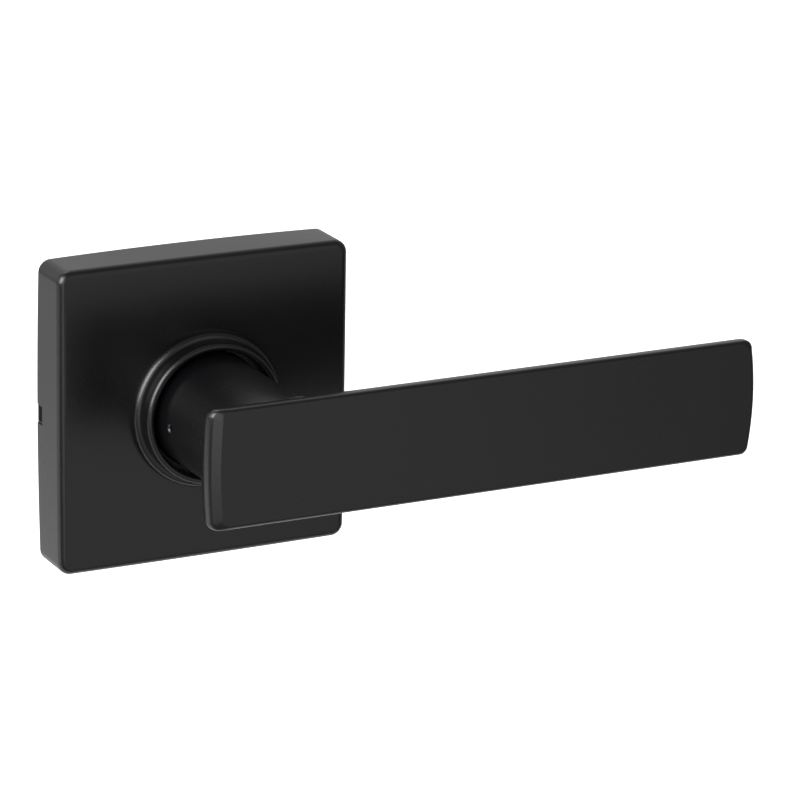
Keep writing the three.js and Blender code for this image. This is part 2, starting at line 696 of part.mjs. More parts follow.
function neckOutline(z) {
  const share = THREE.MathUtils.clamp((z - NECK_FLARE_START) / NECK_FLARE_LENGTH, 0, 1);
  const flare = 1 - Math.sqrt(1 - share ** 2);
  const points = [];
  const sides = 44;
  for (let i = 0; i < sides; i++) {
    const angle = (2 * Math.PI * i) / sides;
    const reach = Math.cos(angle) > 0 ? NECK_FLARE_REACH : NECK_FLARE_HEEL;
    const halfWidth = NECK_RADIUS + reach * flare;
    points.push(new THREE.Vector2(halfWidth * Math.cos(angle), NECK_RADIUS * Math.sin(angle)));
  }
  return { z, points };
}

function leverGeometry() {
  const backDepths = [1, 0.97, 0.88, 0.74, 0.57, 0.4].map((share) => share * BAR_DEPTH);
  const edgeDepths = [1, 0.6, 0.3, 0.1, 0].map((share) => share * BAR_EDGE);
  const noseDepths = [0.5, 0].map((share) => HEEL_BEVEL_DEPTH + share * HEEL_NOSE_DEPTH);
  const depths = [...backDepths, ...noseDepths, ...edgeDepths].sort((a, b) => b - a);
  const bar = loft(depths.map(barOutline));
  const flareSteps = [0, 0.3, 0.55, 0.75, 0.9, 1].map(
    (share) => NECK_FLARE_START + share * NECK_FLARE_LENGTH,
  );
  const neckTop = LEVER_PROJECTION - BAR_RIM;
  const neck = loft([NECK_END, ...flareSteps, neckTop].map(neckOutline));
  const socket = doubleFlat(SOCKET_RADIUS, SOCKET_FLAT, NECK_END - 1, SLEEVE_FRONT + GAP);
  const pocketHalf = CATCH_NOSE / 2 + 2 * GAP;
  const pocketRange = [CATCH_HEIGHT - pocketHalf, CATCH_HEIGHT + pocketHalf];
  const pocket = box([-CATCH_TIP - GAP, 0], [-pocketHalf, pocketHalf], pocketRange);
  const hole = new THREE.CylinderGeometry(RELEASE_HOLE_RADIUS, RELEASE_HOLE_RADIUS, NECK_RADIUS, 16)
    .rotateZ(Math.PI / 2)
    .translate(-NECK_RADIUS, 0, CATCH_HEIGHT);
  return cut(join(bar, neck), socket, pocket, hole);
}

// ---- Assembly ----

const finishes = {
  blackCoat: { color: 0x1b1b1d, roughness: 0.5, metalness: 0.1 },
  zincPlate: { color: 0xb4b6b8, roughness: 0.35, metalness: 1 },
  springSteel: { color: 0x6e7072, roughness: 0.3, metalness: 1 },
  bronze: { color: 0x9a7442, roughness: 0.45, metalness: 1 },
  nylon: { color: 0xd9d6cc, roughness: 0.6, metalness: 0 },
  blackNylon: { color: 0x151515, roughness: 0.65, metalness: 0 },
};

function piece(name, finish, geometry) {
  const mesh = new THREE.Mesh(geometry, new THREE.MeshStandardMaterial(finishes[finish]));
  mesh.name = name;
  return mesh;
}

const handle = new THREE.Group();
handle.rotation.x = Math.PI / 2;

const roseSet = new THREE.Group();
roseSet.add(
  piece("rose", "blackCoat", roseGeometry()),
  piece("rose_liner", "blackNylon", linerGeometry()),
  piece("collar_bush", "blackNylon", collarBushGeometry()),
  piece("mounting_plate", "zincPlate", mountingPlateGeometry()),
  piece("hub_bearing", "bronze", bearingGeometry()),
  piece("spring_cage", "zincPlate", cageGeometry()),
  piece("return_spring", "springSteel", returnSpringGeometry()),
);
for (const [side, sign] of [
  ["left", -1],
  ["right", 1],
]) {
  const screw = piece(`mounting_screw_${side}`, "zincPlate", screwGeometry());
  screw.position.x = sign * SCREW_OFFSET;
  roseSet.add(screw);
}
for (const [side, sign] of [
  ["upper", 1],
  ["lower", -1],
]) {
  const rivet = piece(`cage_rivet_${side}`, "zincPlate", rivetGeometry());
  rivet.position.y = sign * RIVET_OFFSET;
  roseSet.add(rivet);
}

const leverSet = new THREE.Group();
leverSet.add(
  piece("lever", "blackCoat", leverGeometry()),
  piece("drive_sleeve", "zincPlate", sleeveGeometry()),
  piece("spindle", "zincPlate", spindleGeometry()),
  piece("spindle_pin", "springSteel", spindlePinGeometry()),
  piece("spring_driver", "zincPlate", driverGeometry()),
  piece(
    "thrust_washer",
    "nylon",
    ring(SLEEVE_RADIUS + GAP, BEARING_RADIUS, THRUST_BACK, THRUST_BACK + WASHER_THICKNESS),
  ),
  piece("wave_washer", "springSteel", waveWasherGeometry()),
  piece("retaining_ring", "springSteel", retainingRingGeometry()),
);

const catchSet = new THREE.Group();
catchSet.add(
  piece("lever_catch", "springSteel", catchGeometry()),
  piece("catch_spring", "springSteel", catchSpringGeometry()),
);
leverSet.add(catchSet);

handle.add(roseSet, leverSet);

const model = new THREE.Group();
model.add(handle);

export default model;
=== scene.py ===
import math

import bmesh
import bpy
from mathutils import Matrix, Vector


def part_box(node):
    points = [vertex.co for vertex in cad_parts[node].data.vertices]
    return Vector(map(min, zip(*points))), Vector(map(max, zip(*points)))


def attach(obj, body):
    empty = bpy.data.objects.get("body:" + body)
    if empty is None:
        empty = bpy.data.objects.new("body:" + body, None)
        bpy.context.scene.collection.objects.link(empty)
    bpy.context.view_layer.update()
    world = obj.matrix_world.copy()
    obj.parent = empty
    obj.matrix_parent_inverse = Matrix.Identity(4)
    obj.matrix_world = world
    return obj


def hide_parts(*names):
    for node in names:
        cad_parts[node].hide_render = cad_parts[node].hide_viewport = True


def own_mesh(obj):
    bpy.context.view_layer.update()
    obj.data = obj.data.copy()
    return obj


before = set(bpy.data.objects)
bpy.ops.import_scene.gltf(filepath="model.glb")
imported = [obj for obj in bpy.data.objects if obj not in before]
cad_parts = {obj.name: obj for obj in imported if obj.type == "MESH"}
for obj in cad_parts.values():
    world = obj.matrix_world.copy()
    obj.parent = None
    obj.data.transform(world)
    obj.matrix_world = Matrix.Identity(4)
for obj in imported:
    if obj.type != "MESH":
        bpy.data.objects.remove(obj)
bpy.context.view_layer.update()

# Lengths are millimetres until at() turns them into metres. Places are given as (along, up, out): along the
# lever, up, and out of the door, so that what is inside the door has a negative out.
MM = 0.001
TO_DOOR = Matrix.Rotation(math.pi / 2, 4, "X")  # lays a shape that was drawn flat onto the door


def at(along, up, out):
    return Vector((along * MM, -out * MM, up * MM))


def extent(node):
    """A node's (low, high) along, up and out, in millimetres."""
    low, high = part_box(node)
    return (
        (low.x / MM, high.x / MM),
        (low.z / MM, high.z / MM),
        (-high.y / MM, -low.y / MM),
    )


# ---- Sizes read from the frame ----

(LEVER_LEFT, LEVER_REACH), (_, BAR_HALF), (NECK_END, LEVER_FACE) = extent("lever")
(_, ROSE_SWOLLEN), _, (_, COLLAR_FRONT) = extent("rose")
(TAB_FACE, LINER_HALF), _, (_, LINER_FRONT) = extent("rose_liner")
(_, PLATE), _, (_, LUG_FRONT) = extent("mounting_plate")
(_, BUSH_OUTER), _, (BUSH_BACK, BUSH_FRONT) = extent("collar_bush")
(_, FLANGE), _, (BEARING_BACK, BEARING_FRONT) = extent("hub_bearing")
(_, SLEEVE), _, (SLEEVE_BACK, SLEEVE_FRONT) = extent("drive_sleeve")
(_, SPINDLE_HALF), _, (SPINDLE_BACK, SPINDLE_FRONT) = extent("spindle")
(_, PIN), (_, PIN_HALF), (PIN_BACK, PIN_FRONT) = extent("spindle_pin")
(_, CLIP), _, (CLIP_BACK, CLIP_FRONT) = extent("retaining_ring")
(_, WASHER), _, (THRUST_BACK, THRUST_FRONT) = extent("thrust_washer")
_, _, (WAVE_BACK, WAVE_FRONT) = extent("wave_washer")
_, (DRIVER_BOTTOM, CAGE), (TANG_BACK, DRIVER_FRONT) = extent("spring_driver")
_, (_, CAGE_TOP), (CAGE_BACK, _) = extent("spring_cage")
_, (SPRING_BOTTOM, _), (SPRING_BACK, SPRING_FRONT) = extent("return_spring")
(SCREW_LEFT, SCREW_RIGHT), (_, SCREW_HEAD), (SCREW_TIP, SCREW_CROWN) = extent("mounting_screw_right")
(_, RIVET_HEAD), (RIVET_LOW, RIVET_HIGH), (RIVET_TAIL_BACK, RIVET_CROWN) = extent("cage_rivet_upper")
(CATCH_TIP, CATCH_BACK), (_, CATCH_HALF), (CATCH_LOW, CATCH_HIGH) = extent("lever_catch")
(CATCH_SPRING_START, CATCH_SPRING_END), (_, CATCH_COIL), _ = extent("catch_spring")

GAP = 0.3
SCREW_OFFSET = (SCREW_LEFT + SCREW_RIGHT) / 2
RIVET_OFFSET = (RIVET_LOW + RIVET_HIGH) / 2
CATCH_OUT = (CATCH_LOW + CATCH_HIGH) / 2
PIN_OUT = (PIN_BACK + PIN_FRONT) / 2

# ---- Sizes of the finish: fillets, rims, flares and threads ----

ROSE_HALF = 33.5
ROSE_SWELL = ROSE_SWOLLEN - ROSE_HALF
ROSE_DEPTH = 11.5
ROSE_WALL = 1.5
ROSE_CORNER = 2.8
ROSE_EDGE = 1.55
COLLAR_STEP = 17.2
COLLAR_STEP_FRONT = 13.7
COLLAR_STEP_EDGE = 1.3
COLLAR = 15.6
COLLAR_BORE = 14.6
COLLAR_EDGE = 0.85
COLLAR_MOUTH = 14.0
COLLAR_MOUTH_EDGE = 0.65
PRY_SLOT_HALF = 2.15
PRY_SLOT_DEPTH = 2.7
LINER_OPENING = ROSE_HALF - 3.75

BAR_DEPTH = 8.5
BAR_RIM = 1.3
BAR_EDGE = 1.0
BAR_LOWER_EDGE = 1.2
BAR_CORNER = 1.9
BAR_BACK_HALF = 5.0
BAR_END_BOW = 0.85
BAR_END_ROUNDING = 4.0
HEEL = -LEVER_LEFT - BAR_END_BOW / 2
HEEL_BEVEL_LENGTH = 1.85
HEEL_BEVEL_DEPTH = 0.85
HEEL_NOSE = 0.75
HEEL_NOSE_DEPTH = 1.4
HEEL_ROUNDING = 5.0
NECK = 12.75
NECK_FILLET = 3.5
NECK_FILLET_HEEL = 1.6
SOCKET = SLEEVE + GAP
SLEEVE_FLAT = 6.4
SLEEVE_BORE = 5.8
RELEASE_HOLE = 0.75

PLATE_THICKNESS = 2.0
SCREW_HOLE = 2.6
RIVET_HOLE = 1.5
RIVET_SHANK = 1.2
RIVET_FOOT = 2.0
LUG_THICKNESS = 1.2
LUG_HALF_ANGLE = 11.0
LUG_CORNER = 1.6
DIMPLE = 0.5
DIMPLE_RADIUS = 1.5
DIMPLE_OUT = 5.72
BEARING = 9.3
CAGE_SHEET = 0.8
CAGE_WALL = CAGE - 1.0
DRIVER_SHEET = 1.2
EAR_HALF_WIDTH = 1.5
CLEAR_OF_STOP = 0.35
LEVER_TURN = 45
WIRE = 1.5
COIL = 10.5
CATCH_WIRE = 0.6
CATCH_NOSE = CATCH_HALF - 1.0
THREAD_PITCH = 0.8
THREAD_CORE = 1.62
THREAD_CREST = 2.0
SCREW_HEAD_SIDE = 0.9
RECESS_DEPTH = 1.4
RECESS_HALF = 2.0
RECESS_SLOT_HALF = 0.5
RECESS_TAPER = 0.62


# ---- Materials ----

def start_material(name):
    material = bpy.data.materials.new(name)
    material.use_nodes = True
    tree = material.node_tree
    return material, tree, tree.nodes["Principled BSDF"]


def add_node(tree, kind, **settings):
    node = tree.nodes.new(kind)
    for key, value in settings.items():
        setattr(node, key, value)
    return node


def set_inputs(node, values):
    for socket, value in values.items():
        node.inputs[socket].default_value = value


def math_of(tree, operation, first, second, third=None):
    """A math node on sockets or plain numbers; gives its output."""
    node = add_node(tree, "ShaderNodeMath", operation=operation)
    for index, value in enumerate((first, second, third)):
        if isinstance(value, (int, float)):
            node.inputs[index].default_value = value
        elif value is not None:
            tree.links.new(value, node.inputs[index])
    return node.outputs[0]


def shader_group(name, inputs, outputs):
    """An empty shader group with number inputs and their defaults, and number outputs."""
    group = bpy.data.node_groups.new(name, "ShaderNodeTree")
    for label, value in inputs.items():
        socket = group.interface.new_socket(label, in_out="INPUT", socket_type="NodeSocketFloat")
        socket.default_value = value
    for label in outputs:
        group.interface.new_socket(label, in_out="OUTPUT", socket_type="NodeSocketFloat")
    return group, add_node(group, "NodeGroupInput").outputs, add_node(group, "NodeGroupOutput")


def noise_of(group, place, size, detail):
    """Noise whose features are about as large as a size in millimetres."""
    texture = add_node(group, "ShaderNodeTexNoise")
    texture.inputs["Detail"].default_value = detail
    group.links.new(place, texture.inputs["Vector"])
    group.links.new(math_of(group, "DIVIDE", 1 / MM, size), texture.inputs["Scale"])
    return texture.outputs["Fac"]


def fine_grain_group():
    """The even grain of a coated, moulded or plated surface, with slow clouds in its tone and gloss."""
    group, given, result = shader_group(
        "fine_grain",
        {"Grain Size": 0.4, "Cloud Size": 20.0, "Roughness": 0.5, "Spread": 0.05},
        ("Tone", "Roughness", "Height"),
    )
    place = add_node(group, "ShaderNodeTexCoord").outputs["Object"]
    cloud = noise_of(group, place, given["Cloud Size"], 3.0)
    grain = noise_of(group, place, given["Grain Size"], 2.0)
    centred = math_of(group, "SUBTRACT", cloud, 0.5)
    gloss = math_of(group, "MULTIPLY_ADD", centred, given["Spread"], given["Roughness"])
    for value, socket in ((cloud, "Tone"), (gloss, "Roughness"), (grain, "Height")):
        group.links.new(value, result.inputs[socket])
    return group


def tool_marks_group():
    """Fine lines that a lathe, a die or a coiling machine leaves: noise drawn out along one or two axes."""
    group, given, result = shader_group(
        "tool_marks", {"Along": 1.0, "Up": 1.0, "Out": 1.0, "Line Size": 0.1}, ("Lines",),
    )
    place = add_node(group, "ShaderNodeTexCoord")
    stretch = add_node(group, "ShaderNodeCombineXYZ")
    link = group.links.new
    for name, axis in (("Along", "X"), ("Out", "Y"), ("Up", "Z")):
        link(given[name], stretch.inputs[axis])
    drawn = add_node(group, "ShaderNodeVectorMath", operation="MULTIPLY")
    link(place.outputs["Object"], drawn.inputs[0])
    link(stretch.outputs[0], drawn.inputs[1])
    lines = noise_of(group, drawn.outputs[0], given["Line Size"], 4.0)
    link(lines, result.inputs["Lines"])
    return group


FINE_GRAIN = fine_grain_group()
TOOL_MARKS = tool_marks_group()


def finish(name, dark, light, roughness, spread, grain, cloud, bump, metallic=0.0, ior=1.5, marks=None):
    """A surface of two close tones with grain; marks draws tool lines, as (along, up, out, size, depth)."""
    material, tree, shader = start_material(name)
    effect = add_node(tree, "ShaderNodeGroup", node_tree=FINE_GRAIN)
    set_inputs(effect, {"Grain Size": grain, "Cloud Size": cloud, "Roughness": roughness, "Spread": spread})
    tones = add_node(tree, "ShaderNodeValToRGB")
    for element, position, tone in zip(tones.color_ramp.elements, (0.3, 0.7), (dark, light)):
        element.position = position
        element.color = (*tone, 1)
    link = tree.links.new
    link(effect.outputs["Tone"], tones.inputs["Fac"])
    link(tones.outputs["Color"], shader.inputs["Base Color"])
    link(effect.outputs["Roughness"], shader.inputs["Roughness"])
    relief = add_node(tree, "ShaderNodeBump")
    set_inputs(relief, {"Strength": bump, "Distance": 0.05 * MM})
    link(effect.outputs["Height"], relief.inputs["Height"])
    if marks:
        along, up, out, size, depth = marks
        lines = add_node(tree, "ShaderNodeGroup", node_tree=TOOL_MARKS)
        set_inputs(lines, {"Along": along, "Up": up, "Out": out, "Line Size": size})
        scored = add_node(tree, "ShaderNodeBump")
        set_inputs(scored, {"Strength": depth, "Distance": 0.02 * MM})
        link(lines.outputs["Lines"], scored.inputs["Height"])
        link(relief.outputs["Normal"], scored.inputs["Normal"])
        relief = scored
    link(relief.outputs["Normal"], shader.inputs["Normal"])
    shader.inputs["Metallic"].default_value = metallic
    shader.inputs["IOR"].default_value = ior
    return material


FINISHES = {
    "black_coat": finish(
        "black_coat", (0.0016, 0.0016, 0.0020), (0.0024, 0.0024, 0.0030),
        roughness=0.28, spread=0.06, grain=0.35, cloud=20, bump=0.22, ior=1.5,
    ),
    "black_nylon": finish(
        "black_nylon", (0.007, 0.007, 0.007), (0.012, 0.012, 0.012),
        roughness=0.62, spread=0.10, grain=0.25, cloud=8, bump=0.5,
    ),
    "nylon": finish(
        "nylon", (0.60, 0.58, 0.51), (0.71, 0.69, 0.61),
        roughness=0.5, spread=0.10, grain=0.3, cloud=6, bump=0.2,
    ),
    "zinc_plate": finish(
        "zinc_plate", (0.50, 0.51, 0.53), (0.60, 0.60, 0.59),
        roughness=0.32, spread=0.16, grain=0.15, cloud=3.5, bump=0.12, metallic=1.0,
        marks=(1.0, 1.0, 0.08, 0.12, 0.25),
    ),
    "spring_steel": finish(
        "spring_steel", (0.16, 0.15, 0.15), (0.32, 0.32, 0.33),
        roughness=0.28, spread=0.25, grain=0.12, cloud=1.5, bump=0.1, metallic=1.0,
        marks=(0.1, 1.0, 1.0, 0.08, 0.25),
    ),
    "bronze": finish(
        "bronze", (0.30, 0.18, 0.07), (0.55, 0.36, 0.16),
        roughness=0.46, spread=0.25, grain=0.10, cloud=0.7, bump=0.6, metallic=1.0,
    ),
}


# ---- Mesh tools ----

def closed_loops(bm, loops, joins_round=False):
    """Quads between successive loops of equally many points, with capped ends unless the loops join round."""
    rows = [[bm.verts.new(point) for point in loop] for loop in loops]
    pairs = list(zip(rows, rows[1:]))
    if joins_round:
        pairs.append((rows[-1], rows[0]))
    for low, high in pairs:
        for i in range(len(low)):
            j = (i + 1) % len(low)
            bm.faces.new((low[i], low[j], high[j], high[i]))
    if not joins_round:
        bm.faces.new(reversed(rows[0]))
        bm.faces.new(rows[-1])
    return bm


def put_in_scene(name, data):
    made = bpy.data.objects.new(name, data)
    bpy.context.scene.collection.objects.link(made)
    return made


def to_object(bm, name):
    bmesh.ops.recalc_face_normals(bm, faces=bm.faces)
    mesh = bpy.data.meshes.new(name)
    bm.to_mesh(mesh)
    bm.free()
    return put_in_scene(name, mesh)


def lofted(name, loops, joins_round=False):
    return to_object(closed_loops(bmesh.new(), loops, joins_round), name)


def evaluated_mesh(made):
    graph = bpy.context.evaluated_depsgraph_get()
    return bpy.data.meshes.new_from_object(made.evaluated_get(graph), depsgraph=graph)


def worked_in(made):
    """The object with its modifiers worked into a plain mesh."""
    mesh = evaluated_mesh(made)
    made.modifiers.clear()
    made.data = mesh
    return made


def combine(made, others, operation):
    for other in others:
        modifier = made.modifiers.new(operation.lower(), "BOOLEAN")
        modifier.operation = operation
        modifier.solver = "EXACT"
        modifier.object = other
    worked_in(made)
    for other in others:
        bpy.data.objects.remove(other)
    return made


def cut_away(made, *cutters):
    return combine(made, cutters, "DIFFERENCE")


def weld(made, *others):
    return combine(made, others, "UNION")


def break_edges(made, width, segments=2, angle=40):
    """A small bevel on every edge sharper than an angle."""
    modifier = made.modifiers.new("broken_edges", "BEVEL")
    modifier.width = width * MM
    modifier.segments = segments
    modifier.limit_method = "ANGLE"
    modifier.angle_limit = math.radians(angle)
    return worked_in(made)


def finish_piece(made, slot, body, *replaced, crease=35):
    """Finish, shading and the piece's place in the model; large faces lead the shading and stay flat."""
    for polygon in made.data.polygons:
        polygon.use_smooth = True
    made.data.set_sharp_from_angle(angle=math.radians(crease))
    modifier = made.modifiers.new("flat_faces", "WEIGHTED_NORMAL")
    modifier.keep_sharp = True
    worked_in(made)
    made.data.materials.clear()
    made.data.materials.append(FINISHES[slot])
    for polygon in made.data.polygons:
        polygon.material_index = 0
    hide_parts(*replaced)
    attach(made, body)
    return made


# ---- Outlines and profiles ----

def turn(share):
    return 2 * math.pi * share


def quarter(steps):
    """Angles from 0 to 90 degrees, in radians."""
    return [math.pi / 2 * k / steps for k in range(steps + 1)]


def ray_at(angle):
    return Vector((math.cos(angle), math.sin(angle)))


def level(outline, out):
    """An outline of (along, up) points at one distance out of the door."""
    return [at(point[0], point[1], out) for point in outline]


def upright(outline, along, out=0.0):
    """An outline of (up, out) points at one place along the lever."""
    return [at(along, point[0], out + point[1]) for point in outline]


def swung(profile, angle):
    """A profile of (radius, out) pairs at an angle round the turning axis."""
    return [at(radius * math.cos(angle), radius * math.sin(angle), out) for radius, out in profile]


def circle(radius, sides=96, centre=(0, 0)):
    angles = [turn(k / sides) for k in range(sides)]
    return [Vector((centre[0] + radius * math.cos(a), centre[1] + radius * math.sin(a))) for a in angles]


def rectangle(low, high):
    corners = (low, (high[0], low[1]), high, (low[0], high[1]))
    return [Vector(corner) for corner in corners]


def square(half):
    return rectangle((-half, -half), (half, half))


def eased(points, radius, steps=4):
    """A closed outline with an arc at each corner."""
    result = []
    for i, corner in enumerate(points):
        here = Vector(corner)
        back = (Vector(points[i - 1]) - here).normalized()
        ahead = (Vector(points[(i + 1) % len(points)]) - here).normalized()
        half = back.angle(ahead) / 2
        centre = here + (back + ahead).normalized() * radius / math.sin(half)
        first = (here + back * radius / math.tan(half) - centre).normalized()
        last = (here + ahead * radius / math.tan(half) - centre).normalized()
        result += [centre + first.slerp(last, k / steps) * radius for k in range(steps + 1)]
    return result


def arc_of(radius, start, end, steps):
    """Points on a circle between two angles in degrees."""
    return [ray_at(math.radians(start + (end - start) * k / steps)) * radius for k in range(steps + 1)]


def sector(inner, outer, start, end, steps):
    """The outline of part of a ring, between two angles in degrees."""
    return arc_of(outer, start, end, steps) + arc_of(inner, start, end, steps)[::-1]


def double_flat(radius, flat, steps=20):
    """A circle with a flat on its upper and lower sides."""
    corner = math.asin(flat / radius)
    arc = [corner * (2 * k / steps - 1) for k in range(steps + 1)]
    right = [ray_at(a) * radius for a in arc]
    return right + [-point for point in right]


def turned(name, profile, centre=(0, 0), sides=96, tube=False):
    """A profile of (radius, out) pairs turned round an axis out of the door."""
    loops = [level(circle(radius, sides, centre), out) for radius, out in profile]
    return lofted(name, loops, joins_round=tube)


def washer(name, inner, outer, back, front, ease):
    """A ring with eased edges."""
    return turned(name, eased(rectangle((inner, back), (outer, front)), ease, 3), tube=True)


def bar(name, outline, back, front):
    """A straight-sided solid standing out of the door, for cutting and welding."""
    return lofted(name, [level(outline, out) for out in (back, front)])


def add_spline(curve, points):
    spline = curve.splines.new("POLY")
    spline.points.add(len(points) - 1)
    for target, point in zip(spline.points, points):
        target.co = (*point, 1)
    return spline


def mesh_from(curve):
    """The bevelled curve's mesh, with points that coincide joined."""
    drawn = put_in_scene(curve.name + "_drawn", curve)
    bm = bmesh.new()
    bm.from_mesh(evaluated_mesh(drawn))
    bpy.data.objects.remove(drawn)
    bmesh.ops.remove_doubles(bm, verts=bm.verts, dist=1e-7)
    return bm


def sheet_metal(name, outline, holes, back, front, ease):
    """A flat piece with holes and rounded-over edges."""
    curve = bpy.data.curves.new(name, "CURVE")
    curve.dimensions = "2D"
    curve.fill_mode = "BOTH"
    for points in (outline, *holes):
        add_spline(curve, [(point[0] * MM, point[1] * MM, 0) for point in points]).use_cyclic_u = True
    curve.extrude = ((front - back) / 2 - ease) * MM
    curve.bevel_depth = ease * MM
    curve.bevel_resolution = 2
    curve.offset = -ease * MM
    bm = mesh_from(curve)
    bmesh.ops.translate(bm, verts=bm.verts, vec=(0, 0, (back + front) / 2 * MM))
    bmesh.ops.transform(bm, matrix=TO_DOOR, verts=bm.verts)
    return to_object(bm, name)


def bent_wire(name, points, diameter, sides=14):
    """Round wire along a list of (along, up, out) points."""
    curve = bpy.data.curves.new(name, "CURVE")
    curve.dimensions = "3D"
    curve.twist_mode = "MINIMUM"
    add_spline(curve, [at(*point) for point in points])
    curve.bevel_depth = diameter / 2 * MM
    curve.bevel_resolution = sides // 4
    curve.use_fill_caps = True
    return to_object(mesh_from(curve), name)


# ---- Geometry Nodes ----

def node_tree(name, inputs):
    """An empty geometry tree with a geometry input and output, and number inputs with their defaults."""
    tree = bpy.data.node_groups.new(name, "GeometryNodeTree")
    tree.interface.new_socket("Geometry", in_out="INPUT", socket_type="NodeSocketGeometry")
    for label, value in inputs.items():
        kind = "NodeSocketInt" if isinstance(value, int) else "NodeSocketFloat"
        tree.interface.new_socket(label, in_out="INPUT", socket_type=kind).default_value = value
    tree.interface.new_socket("Geometry", in_out="OUTPUT", socket_type="NodeSocketGeometry")
    return tree, add_node(tree, "NodeGroupInput").outputs, add_node(tree, "NodeGroupOutput")


def end_tree(tree, geometry, result, material):
    realize = add_node(tree, "GeometryNodeRealizeInstances")
    coat = add_node(tree, "GeometryNodeSetMaterial")
    coat.inputs["Material"].default_value = material
    tree.links.new(geometry, realize.inputs[0])
    tree.links.new(realize.outputs[0], coat.inputs["Geometry"])
    tree.links.new(coat.outputs[0], result.inputs["Geometry"])


def grown(made, tree, **values):
    """The object with a geometry tree run on it and worked in; values are keyed by the inputs' names."""
    modifier = made.modifiers.new(tree.name, "NODES")
    modifier.node_group = tree
    for item in tree.interface.items_tree:
        key = item.name.lower().replace(" ", "_")
        if item.item_type == "SOCKET" and item.in_out == "INPUT" and key in values:
            modifier[item.identifier] = values[key]
    return worked_in(made)


def copies_round_tree():
    """Repeats a piece round the turning axis, Count times, the first at Start Angle."""
    tree, given, result = node_tree("copies_round", {"Count": 4, "Start Angle": 0.0})
    line = add_node(tree, "GeometryNodeMeshLine")
    line.inputs["Offset"].default_value = (0, 0, 0)
    link = tree.links.new
    link(given["Count"], line.inputs["Count"])
    index = add_node(tree, "GeometryNodeInputIndex").outputs[0]
    step = math_of(tree, "DIVIDE", 2 * math.pi, given["Count"])
    angle = math_of(tree, "MULTIPLY_ADD", index, step, given["Start Angle"])
    facing = add_node(tree, "ShaderNodeCombineXYZ")
    link(math_of(tree, "MULTIPLY", angle, -1.0), facing.inputs["Y"])
    copies = add_node(tree, "GeometryNodeInstanceOnPoints")
    link(line.outputs[0], copies.inputs["Points"])
    link(given["Geometry"], copies.inputs["Instance"])
    link(facing.outputs[0], copies.inputs["Rotation"])
    end_tree(tree, copies.outputs[0], result, FINISHES["zinc_plate"])
    return tree


def screw_thread_tree():
    """A threaded shank along Z from 0 to Length, with a right-hand thread that runs out at its tip, at 0."""
    tree, given, result = node_tree(
        "screw_thread",
        {"Length": 0.03, "Pitch": 0.001, "Core": 0.0016, "Crest": 0.002, "Sides": 24, "Rows Per Turn": 8},
    )
    turns = math_of(tree, "DIVIDE", given["Length"], given["Pitch"])
    rows = math_of(tree, "MULTIPLY", turns, given["Rows Per Turn"])
    shank = add_node(tree, "GeometryNodeMeshCylinder", fill_type="NGON")
    shank.inputs["Radius"].default_value = 1.0
    link = tree.links.new
    link(given["Sides"], shank.inputs["Vertices"])
    link(rows, shank.inputs["Side Segments"])
    link(given["Length"], shank.inputs["Depth"])
    place = add_node(tree, "ShaderNodeSeparateXYZ")
    link(add_node(tree, "GeometryNodeInputPosition").outputs[0], place.inputs[0])
    along, across, height = place.outputs
    tip = math_of(tree, "MULTIPLY_ADD", given["Length"], 0.5, height)
    way_round = math_of(tree, "DIVIDE", math_of(tree, "ARCTAN2", across, along), 2 * math.pi)
    wound = math_of(tree, "SUBTRACT", math_of(tree, "DIVIDE", tip, given["Pitch"]), way_round)
    tooth = math_of(tree, "PINGPONG", wound, 0.5)
    flank = add_node(tree, "ShaderNodeMapRange")
    set_inputs(flank, {"From Min": 0.06, "From Max": 0.44})
    link(tooth, flank.inputs["Value"])
    lead = add_node(tree, "ShaderNodeMapRange")
    link(tip, lead.inputs["Value"])
    link(math_of(tree, "MULTIPLY", given["Pitch"], 1.5), lead.inputs["From Max"])
    rise = math_of(tree, "MULTIPLY", flank.outputs[0], lead.outputs[0])
    ridge = math_of(tree, "SUBTRACT", given["Crest"], given["Core"])
    radius = math_of(tree, "MULTIPLY_ADD", rise, ridge, given["Core"])
    point = add_node(tree, "ShaderNodeCombineXYZ")
    link(math_of(tree, "MULTIPLY", along, radius), point.inputs["X"])
    link(math_of(tree, "MULTIPLY", across, radius), point.inputs["Y"])
    link(tip, point.inputs["Z"])
    cut = add_node(tree, "GeometryNodeSetPosition")
    link(shank.outputs["Mesh"], cut.inputs["Geometry"])
    link(point.outputs[0], cut.inputs["Position"])
    end_tree(tree, cut.outputs[0], result, FINISHES["zinc_plate"])
    return tree


def wound_spring_tree():
    """A helical spring along Z from 0 to Length."""
    tree, given, result = node_tree(
        "wound_spring", {"Length": 0.01, "Turns": 5.0, "Coil": 0.0015, "Wire": 0.0006, "Steps Per Turn": 28},
    )
    helix = add_node(tree, "GeometryNodeCurveSpiral")
    link = tree.links.new
    for name, socket in (
        ("Steps Per Turn", "Resolution"), ("Turns", "Rotations"), ("Length", "Height"),
        ("Coil", "Start Radius"), ("Coil", "End Radius"),
    ):
        link(given[name], helix.inputs[socket])
    section = add_node(tree, "GeometryNodeCurvePrimitiveCircle")
    section.inputs["Resolution"].default_value = 12
    link(math_of(tree, "MULTIPLY", given["Wire"], 0.5), section.inputs["Radius"])
    swept = add_node(tree, "GeometryNodeCurveToMesh")
    swept.inputs["Fill Caps"].default_value = True
    link(helix.outputs[0], swept.inputs["Curve"])
    link(section.outputs[0], swept.inputs["Profile Curve"])
    end_tree(tree, swept.outputs[0], result, FINISHES["spring_steel"])
    return tree


COPIES_ROUND = copies_round_tree()
SCREW_THREAD = screw_thread_tree()
WOUND_SPRING = wound_spring_tree()


# ---- Rose ----

